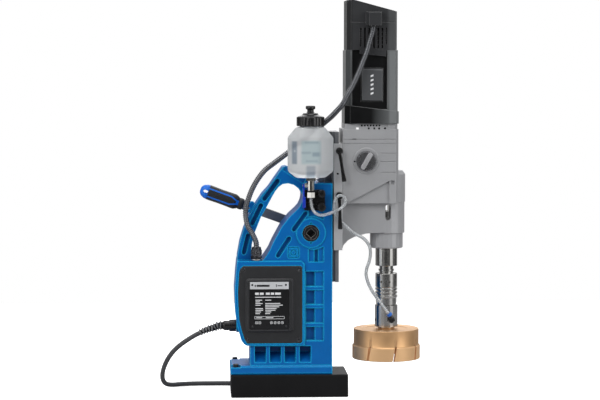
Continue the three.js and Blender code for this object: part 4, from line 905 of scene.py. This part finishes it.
# ------------------------------------------------------------------ coolant bottle
def bottle_material():
    m = bpy.data.materials.new("bottle_milk")
    m.use_nodes = True
    nt = m.node_tree
    b = nt.nodes["Principled BSDF"]
    b.inputs["IOR"].default_value = 1.12
    b.inputs["Transmission Weight"].default_value = 0.62
    b.inputs["Coat Weight"].default_value = 0.35
    b.inputs["Coat Roughness"].default_value = 0.25
    tc = nt.nodes.new("ShaderNodeTexCoord")
    co = tc.outputs["Object"]
    n = nt.nodes.new("ShaderNodeTexNoise")
    n.inputs["Scale"].default_value = 18
    n.inputs["Detail"].default_value = 4
    link(nt, co, n.inputs["Vector"])
    mx = nt.nodes.new("ShaderNodeMix"); mx.data_type = "RGBA"
    link(nt, n.outputs[0], mx.inputs["Factor"])
    mx.inputs[6].default_value = (0.84, 0.87, 0.88, 1)
    mx.inputs[7].default_value = (0.98, 0.99, 0.995, 1)
    col = mx.outputs[2]
    nr = nt.nodes.new("ShaderNodeTexNoise")
    nr.inputs["Scale"].default_value = 120
    link(nt, co, nr.inputs["Vector"])
    link(nt, ramp_step(nt, nr.outputs[0], 0.3, 0.7, 0.34, 0.46), b.inputs["Roughness"])
    # printed filling scale, blurred by the wall: pale panel with darker rows, and a band at the left
    teal, dark = (0.42, 0.66, 0.70), (0.20, 0.33, 0.42)
    rows_ = [dict(color=teal, x=(20, 56), z=(440, 483), y=(-93, -70), soft=2.4, amount=0.8),
             dict(color=dark, x=(26, 52), z=(478, 482), y=(-93, -70), soft=1.8, amount=0.6),
             dict(color=dark, x=(40, 54), z=(454, 462), y=(-93, -70), soft=2.0, amount=0.85),
             dict(color=dark, x=(20, 38), z=(459, 463), y=(-93, -70), soft=1.8, amount=0.6),
             dict(color=dark, x=(28, 50), z=(444, 447), y=(-93, -70), soft=1.6, amount=0.5),
             dict(color=(0.16, 0.24, 0.34), x=(3, 12), z=(440, 482), y=(-93, -60), soft=1.6, amount=0.8),
             dict(color=(0.80, 0.85, 0.86), x=(6.5, 9.5), z=(462, 466), y=(-93, -60), soft=1.0, amount=0.6),
             dict(color=(0.16, 0.24, 0.34), x=(29, 46), z=(413, 437), y=(-93, -60), soft=2.4, amount=0.8)]
    for rg in rows_:
        mr = nt.nodes.new("ShaderNodeMix"); mr.data_type = "RGBA"
        link(nt, region_mask(nt, co, rg), mr.inputs["Factor"])
        link(nt, col, mr.inputs[6])
        mr.inputs[7].default_value = list(rg["color"]) + [1]
        col = mr.outputs[2]
    link(nt, col, b.inputs["Base Color"])
    bp = nt.nodes.new("ShaderNodeBump")
    bp.inputs["Strength"].default_value = 0.25
    bp.inputs["Distance"].default_value = 0.0008
    n4 = nt.nodes.new("ShaderNodeTexNoise")
    n4.inputs["Scale"].default_value = 45
    link(nt, co, n4.inputs["Vector"])
    link(nt, n4.outputs[0], bp.inputs["Height"])
    link(nt, bp.outputs[0], b.inputs["Normal"])
    return m


MILK = bottle_material()
bm = bmesh.new()


def octo(hx, fx, hy, fy, z):
    return [(BX + x, BY + y, z) for x, y in ((-hx, -fy), (-fx, -hy), (fx, -hy), (hx, -fy), (hx, fy), (fx, hy), (-fx, hy), (-hx, fy))]


levels = [octo(27, 15, 19, 8, 413.6), octo(42.1, 21.5, 29.9, 11, 425.5), octo(42.1, 21.5, 29.9, 11, 488.5), octo(26, 17, 20, 10, 507.8)]
vr = [[bm.verts.new(p) for p in lv] for lv in levels]
for a, b in zip(vr, vr[1:]):
    for k in range(8):
        bm.faces.new((a[k], a[(k + 1) % 8], b[(k + 1) % 8], b[k]))
bm.faces.new(list(reversed(vr[0]))); bm.faces.new(vr[-1])
bevel_bm(bm, 3.2, 4, 15)
bottle = build("bottle_body", bm, MILK, "root", 60, ("coolant_bottle",))
neck = lathe("bottle_neck", [(0, 505.5), (22.0, 505.5), (22.3, 506.6), (22.0, 507.9), (20.2, 508.5), (19.4, 509.2), (19.4, 509.4), (0, 509.4)], (BX, BY), MILK, "root", n=48)

# ribbed cap and pull spout
def lobes(count, depth, z0, z1, sharp=1.0):
    def f(r, h, a):
        if not z0 <= h <= z1 or r < 20:
            return r
        k = 0.5 + 0.5 * math.cos(count * a)
        return r - depth * (1 - min(1, k * 1.7)) ** sharp
    return f


lathe("ribbed_cap", [(20, 509.7), (25.2, 509.7), (25.9, 510.4), (25.9, 524.8), (25.4, 526.2), (23.6, 527.6), (18.5, 529.2), (16.0, 530.3), (14.4, 531.8), (13.6, 533.2), (12.4, 533.7), (4.4, 533.7), (4.4, 540.8), (0, 540.8), (0, 525), (20, 525)],
      (BX, BY), PLASTIC_D, "cap", n=144, shape=lobes(18, 1.9, 510.5, 525.5), nodes=("bottle_cap",))
lathe("pull_spout", [(0, 541.3), (4.6, 541.3), (4.6, 534.2), (7.2, 534.2), (7.4, 535.0), (6.2, 536.2), (6.0, 539.4), (7.0, 540.4), (8.7, 541.4), (8.9, 542.2), (8.9, 545.6), (8.3, 546.6), (7.4, 547.2), (5.6, 547.3), (5.0, 546.4), (0, 546.4)],
      (BX, BY), PLASTIC_D, "spout", n=48, nodes=("cap_spout",))

# bracket knobs
for nm, z, r, node in (("knob_top", 383, 7.4, "bracket_knob_upper"), ("knob_bottom", 358, 8.2, "bracket_knob_lower")):
    def kn(rr, h, a, r=r):
        return rr - (0.55 * (1 - min(1, (0.5 + 0.5 * math.cos(20 * a)) * 1.6)) if rr > r - 1.0 and -65 < h < -55 else 0)
    lathe(nm, [(0, -51.1), (2.9, -51.1), (2.9, -54.5), (r - 0.4, -54.5), (r, -55.1), (r, -64.6), (r - 0.9, -65.7), (r - 2.4, -65.9), (r - 3.0, -65.2), (0, -65.2)], (59, z), PLASTIC_D, node.replace("bracket_", "").replace("knob_upper", "knob_upper"),
          axis="Y", n=80, shape=kn, nodes=(node,))

# ------------------------------------------------------------------ clamp levers
def clamp_lever(name, node, body, hz, ax, az, r):
    bm = bmesh.new()
    add_lathe(bm, [(0, -63.5), (2.5, -63.5), (2.6, -62.9), (3.6, -62.9), (3.9, -63.6), (r - 0.9, -63.6), (r - 0.1, -62.9), (r - 0.1, -51.2), (r - 0.5, -50.8), (3, -50.8), (3, -43.5), (0, -43.5)], (92.4, hz), "Y", 40)
    dx, dz = ax - 92.4, az - hz
    L = math.hypot(dx, dz)
    ux, uz = dx / L, dz / L
    nx, nz = -uz, ux
    arm = [(3.2, 3.6, -62.6, -57.2), (8, 3.3, -63.0, -58.4), (0.35 * L, 2.9, -63.2, -59.6), (0.6 * L, 3.1, -63.3, -59.8), (0.85 * L, 4.0, -63.3, -59.4), (L - 3.2, 4.45, -63.2, -59.0), (L - 1.2, 4.1, -62.8, -59.2), (L - 0.3, 3.1, -62.2, -59.8)]
    prev = None
    first = None
    for s_, w, y0, y1 in arm:
        ring = []
        hw, hy = w, (y1 - y0) / 2
        for k in range(20):
            a = 2 * math.pi * k / 20
            e = 2 / 3.4
            c, sn = math.cos(a), math.sin(a)
            q = (abs(c) ** e) * (1 if c >= 0 else -1) * hw
            y = (y0 + y1) / 2 + (abs(sn) ** e) * (1 if sn >= 0 else -1) * hy
            ring.append(bm.verts.new((92.4 + ux * s_ + nx * q, y, hz + uz * s_ + nz * q)))
        if prev:
            for k in range(20):
                bm.faces.new((prev[k], prev[(k + 1) % 20], ring[(k + 1) % 20], ring[k]))
        else:
            first = ring
        prev = ring
    bm.faces.new(list(reversed(first))); bm.faces.new(prev)
    return build(name, bm, PLASTIC_D, body, 40, (node,))


clamp_lever("clamp_handle_top", "clamp_lever_upper", "clamp_upper", 463, 101.6, 405.3, 6.6)
clamp_lever("clamp_handle_bottom", "clamp_lever_lower", "clamp_lower", 379.5, 94, 316.5, 7)

# ------------------------------------------------------------------ annular cutter
bm = bmesh.new()
add_lathe(bm, [(4.5, 112), (55, 112), (55, 65.9), (56.4, 65.9), (63.6, 66.6), (64.5, 67.6), (64.5, 91.4), (62.3, 93.3), (61.95, 94.0), (61.95, 122.6), (61.2, 123.6), (40.2, 123.6), (39.2, 123.2), (38.4, 122.4), (15.0, 122.2),
               (15.0, 124.3), (9.4, 124.3), (9.4, 205.9), (4.5, 205.9)], (SX, 0), "Z", 144)
cutter = build("ring_cutter", bm, GOLD, None, 30)
cb = bmesh.new()
tilt = math.radians(9.5)
for i in range(8):
    q = math.radians(-90 - 34 + 45 * i)
    M = Matrix.Translation((SX, 0, 0)) @ Matrix.Rotation(q, 4, "Z") @ Matrix.Translation((60, 0, 86)) @ Matrix.Rotation(-tilt, 4, "X")
    for (x0, x1, y0, y1, z0, z1) in ((-11, 11, -1.3, 1.3, -27, 9), (1.2, 11, -2.9, 0.4, -27, 20.6), (-11, 11, -3.4, 1.3, -27, -19.0)):
        vs = add_box(cb, x0, x1, y0, y1, z0, z1)
        bmesh.ops.transform(cb, matrix=M, verts=vs)
boolean(cutter, raw_object("cut_b", cb))
smooth(cutter.data, 30)
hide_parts("annular_cutter")
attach(cutter, "spindle")

# ------------------------------------------------------------------ arbor with grooves and lock holes
bm = bmesh.new()
add_lathe(bm, [(10, 125.0), (16.4, 125.0), (16.4, 168.4), (18.7, 168.5), (19.3, 169.2), (19.3, 181.8), (20.4, 182.4), (20.8, 183.2), (20.8, 184.6), (20.4, 184.9), (20.8, 185.2), (20.8, 186.6), (20.2, 187.2), (18.4, 187.4), (18.4, 189.6), (20.2, 189.8), (20.8, 190.4), (20.8, 191.6), (20.4, 191.9), (20.8, 192.2), (20.8, 193.4),
               (20.2, 194.0), (18.4, 194.2), (18.4, 196.4), (20.2, 196.6), (20.8, 197.2), (20.8, 200.0), (20.2, 200.6), (18.8, 200.8), (18.8, 202.2), (20.2, 202.4), (20.6, 203.0), (20.6, 227.6), (19.9, 228.8), (18.8, 229.1), (13.1, 229.1), (13.1, 232.6),
               (14.6, 233.2), (14.6, 236.6), (13.1, 237.2), (13.1, 242.5), (11.8, 242.5), (8.8, 327.8), (4.7, 327.8), (4.7, 226), (4.7, 207.2), (10, 207.2)], (SX, 0), "Z", 96)
arbor = build("arbor_body", bm, STEEL, None, 30)
cb = bmesh.new()
for t in (-33, 12):
    q = math.radians(t - 90)
    vs = [v for row in add_lathe(cb, [(0, 14), (2.1, 14), (2.1, 26), (0, 26)], (0, 0), "Z", 20) for v in row]
    bmesh.ops.transform(cb, matrix=Matrix.Translation((SX, 0, 213)) @ Matrix.Rotation(q, 4, "Z") @ Matrix.Rotation(math.radians(90), 4, "Y"), verts=vs)
boolean(arbor, raw_object("cut_c", cb))
smooth(arbor.data, 30)
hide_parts("arbor")
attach(arbor, "spindle")

# push-in collar and brass port of the coolant ring
def oriented(name, prof, origin, direction, mat, body, n=32, nodes=()):
    bm = bmesh.new()
    add_lathe(bm, prof, (0, 0), "Z", n)
    q = Vector(direction).normalized().to_track_quat("Z", "Y").to_matrix().to_4x4()
    bmesh.ops.transform(bm, matrix=Matrix.Translation(origin) @ q, verts=bm.verts)
    return build(name, bm, mat, body, 35, nodes)


oriented("push_collar", [(3.15, -1.2), (4.7, -1.2), (5.3, -0.6), (5.3, 2.4), (4.75, 3.2), (4.72, 4.2), (3.9, 4.2), (3.9, 0.4), (3.15, 0.2)], (188.9, -29, 153.2), (0.62, 0, -0.784), COLLAR, "drill_unit")
q = math.radians(18.5 - 90)
oriented("brass_port", [(1.1, 20.2), (2.5, 20.2), (2.5, 22.0), (3.3, 22.05), (3.3, 22.7), (2.2, 23.1), (1.1, 23.1)], (SX, 0, 140.5), (math.cos(q), math.sin(q), 0), BRASS, "drill_unit", 24)

# ------------------------------------------------------------------ data plate marks: generic bars and signs, no lettering
def marks(name, rects, y, mat, body, th=0.14):
    bm = bmesh.new()
    for x0, x1, z0, z1 in rects:
        add_box(bm, x0, x1, y - th, y, z0, z1)
    return build(name, bm, mat, body, 30)


marks("plate_header", [(-74.6, -2.2, 205, 218.6)], -59.02, PRINTG, "root")
marks("plate_header_marks", [(-62, -38, 209.6, 213.2), (-65.8, -63.6, 209.6, 213.2), (-26, -24.6, 209, 214), (-23, -14, 210.6, 212.2)], -59.17, PLATE, "root", 0.08)
rows_ = [(-65, -58, 194.4, 198.6), (-56.2, -49, 194.4, 198.6), (-45, -37.5, 194.4, 198.6), (-35.8, -29.5, 194.4, 198.6), (-27.6, -17, 194.4, 198.6), (-65, -16.5, 189.2, 190.6)]
for i, (l0, l1, r1) in enumerate(((-64.4, -52, -35), (-64.4, -56, 0), (-64.4, -51, -18), (-64.4, -55, -13.5), (0, 0, -20), (-64.4, -50.5, -25), (-64.4, -50.0, -27), (-64.4, -54, -35), (-64.4, -56, -37))):
    z = 184.4 - i * 3.15
    if l0:
        rows_.append((l0, l1, z - 0.75, z + 0.75))
    if r1:
        rows_.append((-46, r1, z - 0.75, z + 0.75))
marks("plate_rows", rows_, -59.02, WHITE, "root", 0.1)
fr = []
for a, b, c, d in ((-66.3, -10, 153.4, 154.1), (-66.3, -10, 148.9, 149.6), (-66.3, -65.6, 149, 154), (-10.7, -10, 149, 154), (-63, -52, 150.8, 152.2), (-45, -31, 150.8, 152.2)):
    fr.append((a, b, c, d))
for x in (-64.6, -58.6, -36.8, -29.8, -23, -16.4):
    fr += [(x, x + 4.6, 143.6, 144.4), (x, x + 4.6, 139.6, 140.4), (x, x + 0.8, 139.6, 144.4), (x + 3.8, x + 4.6, 139.6, 144.4), (x + 1.7, x + 2.9, 141.3, 142.7)]
marks("plate_frame_signs", fr, -59.02, WHITE, "root", 0.1)
for i, (x, z) in enumerate(((-70.2, 213.0), (-7.4, 213.0), (-70.2, 134.6), (-7.4, 134.6))):
    lathe("plate_rivet_%d" % (i + 1), [(0, -58.9), (2.0, -58.9), (2.0, -59.25), (1.5, -59.7), (0, -59.85)], (x, z), BOLT, "root", axis="Y", n=20)

# motor panel mark: five slanted strokes in a column
bm = bmesh.new()
for i in range(5):
    z = 603 - i * 8.2
    add_poly(bm, *prism_y([(151.2, z - 3), (156.6, z - 1), (156.6, z + 2.6), (151.2, z + 0.6)], -49.78, -49.62))
build("panel_marks", bm, WHITE, "drill_unit", 30)

# ------------------------------------------------------------------ motor cap grille, and dark sheets in the air slots and behind the lower air holes as painted shade
bm = bmesh.new()
xs = [132.8, 140.4, 148.6, 157.2, 165.1, 172.8, 180.4]
for s_ in (-1, 1):
    for i, x in enumerate(xs):
        zlo = 662 if i == 6 else 657 if i == 0 else 653.5
        step = 4.3 if i in (0, 6) else 7.6 if i in (4, 5) else 0
        if not step:
            continue
        z = zlo + step
        while z < 690.5:
            y0, y1 = sorted((s_ * 48.2, s_ * 50.1))
            add_box(bm, x - 1.95, x + 1.95, y0, y1, z - 0.65, z + 0.65)
            z += step
build("cap_grille", bm, CAPM, "drill_unit")
# painted shade: black sheets inside the cap's air slots stand for the shade in the slots
bm = bmesh.new()
for s_ in (-1, 1):
    y0, y1 = sorted((s_ * 44.6, s_ * 45.3))
    add_box(bm, 118.5, 190.5, y0, y1, 652, 703)
build("cap_slot_shade", bm, material("painted_slot_shade", srgb("0c0c0d"), 0.5, grain=(1500, 0.1), bevel=0.0003), "drill_unit")
# painted shade: black sheets behind the lower air holes stand for the shade inside
bm = bmesh.new()
for s_ in (-1, 1):
    y0, y1 = sorted((s_ * 41.6, s_ * 42.3))
    add_box(bm, 131 if s_ < 0 else 141, 190, y0, y1, 497, 512.5)
build("air_hole_shade", bm, PLASTIC_D, "drill_unit")
# painted shade: a black disc in the bracket's small pit stands for the shade in it
lathe("bracket_pit_shade", [(0, -49.2), (2.1, -49.2), (2.1, -50.05), (1.6, -50.2), (0, -50.2)], (90, 420), PLASTIC_D, "drill_unit", axis="Y", n=20)
# ring where the conduit enters the terminal block
lathe("terminal_gland", [(5.7, 693.4), (7.4, 693.4), (7.8, 694.0), (7.8, 696.2), (5.7, 696.2)], (155.3, -62), PLASTIC_D, "drill_unit", n=32)

# ------------------------------------------------------------------ conduit gland
bm = bmesh.new()
add_lathe(bm, [(5.9, 257.35), (10.6, 257.35), (11.0, 258.0), (11.0, 260.2), (10.2, 260.8), (5.9, 260.8)], (-62, GY), "Z", 48)
build("gland_washer", bm, NICKEL, "root", 35)
bm = bmesh.new()
vs = add_poly(bm, [(x, y, 260.9) for x, y in ngon(-62, GY, 11.4, 6, 0.3)], [(x, y, 267.2) for x, y in ngon(-62, GY, 11.4, 6, 0.3)])
bevel_bm(bm, 0.8, 2)
add_lathe(bm, [(5.8, 267.0), (9.0, 267.0), (9.0, 268.0), (10.3, 268.6), (10.3, 276.6), (9.6, 277.6), (8.9, 278.4), (8.9, 281.0), (7.9, 283.0), (5.8, 283.0)], (-62, GY), "Z", 96,
          lambda r, h, a: r - (0.5 if r > 10 and math.cos(24 * a) < 0 else 0))
gland = build("gland_nut", bm, BOLT, "root", 30, ("conduit_gland",))

# ------------------------------------------------------------------ speed dial
bm = bmesh.new()
add_lathe(bm, [(0, -52.2), (18.9, -52.2), (18.9, -54.6), (18.5, -55.3), (17.3, -55.6), (17.1, -56.6), (16.4, -57.3), (0, -57.3)], (143.3, 444), "Y", 72)
add_lathe(bm, [(0, -38.1), (5.1, -38.1), (5.1, -52.6), (0, -52.6)], (143.3, 444), "Y", 24)
build("dial_disc", bm, DIAL, "dial", 30, ("speed_dial",))
bm = bmesh.new()
an = math.radians(60)
ux, uz = math.cos(an), math.sin(an)
bar = []
for a0, cx in ((-90, 13.6), (90, -13.6)):
    for i in range(7):
        a = math.radians(a0 + 180 * i / 6)
        p_, w_ = cx + 3.9 * math.cos(a), 4.1 * math.sin(a)
        bar.append((143.3 + ux * p_ - uz * w_, 444 + uz * p_ + ux * w_))
add_poly(bm, *prism_y(bar, -65.6, -57.0))
bevel_bm(bm, 1.1, 3, 40)
build("dial_bar", bm, material("dial_silver", srgb("cdcdcf"), 0.3, metal=0.5, blotch=(40, 0.08), grain=(900, 0.06), bevel=0.0005), "dial", 30)
bm = bmesh.new()
for a0 in range(0, 360, 12):
    a = math.radians(a0)
    c, s_ = math.cos(a), math.sin(a)
    vs = add_box(bm, -0.35, 0.35, -52.25, -51.85, 20.6, 22.8)
    bmesh.ops.transform(bm, matrix=Matrix.Translation((143.3, 0, 444)) @ Matrix.Rotation(a, 4, "Y"), verts=vs)
build("dial_scale", bm, GREY, "drill_unit", 30)
bm = bmesh.new()
add_lathe(bm, [(0, -51.7), (1.5, -51.7), (1.5, -52.3), (0, -52.3)], (121.6, 443), "Y", 16)
build("dial_index", bm, PLASTIC_D, "drill_unit", 30)
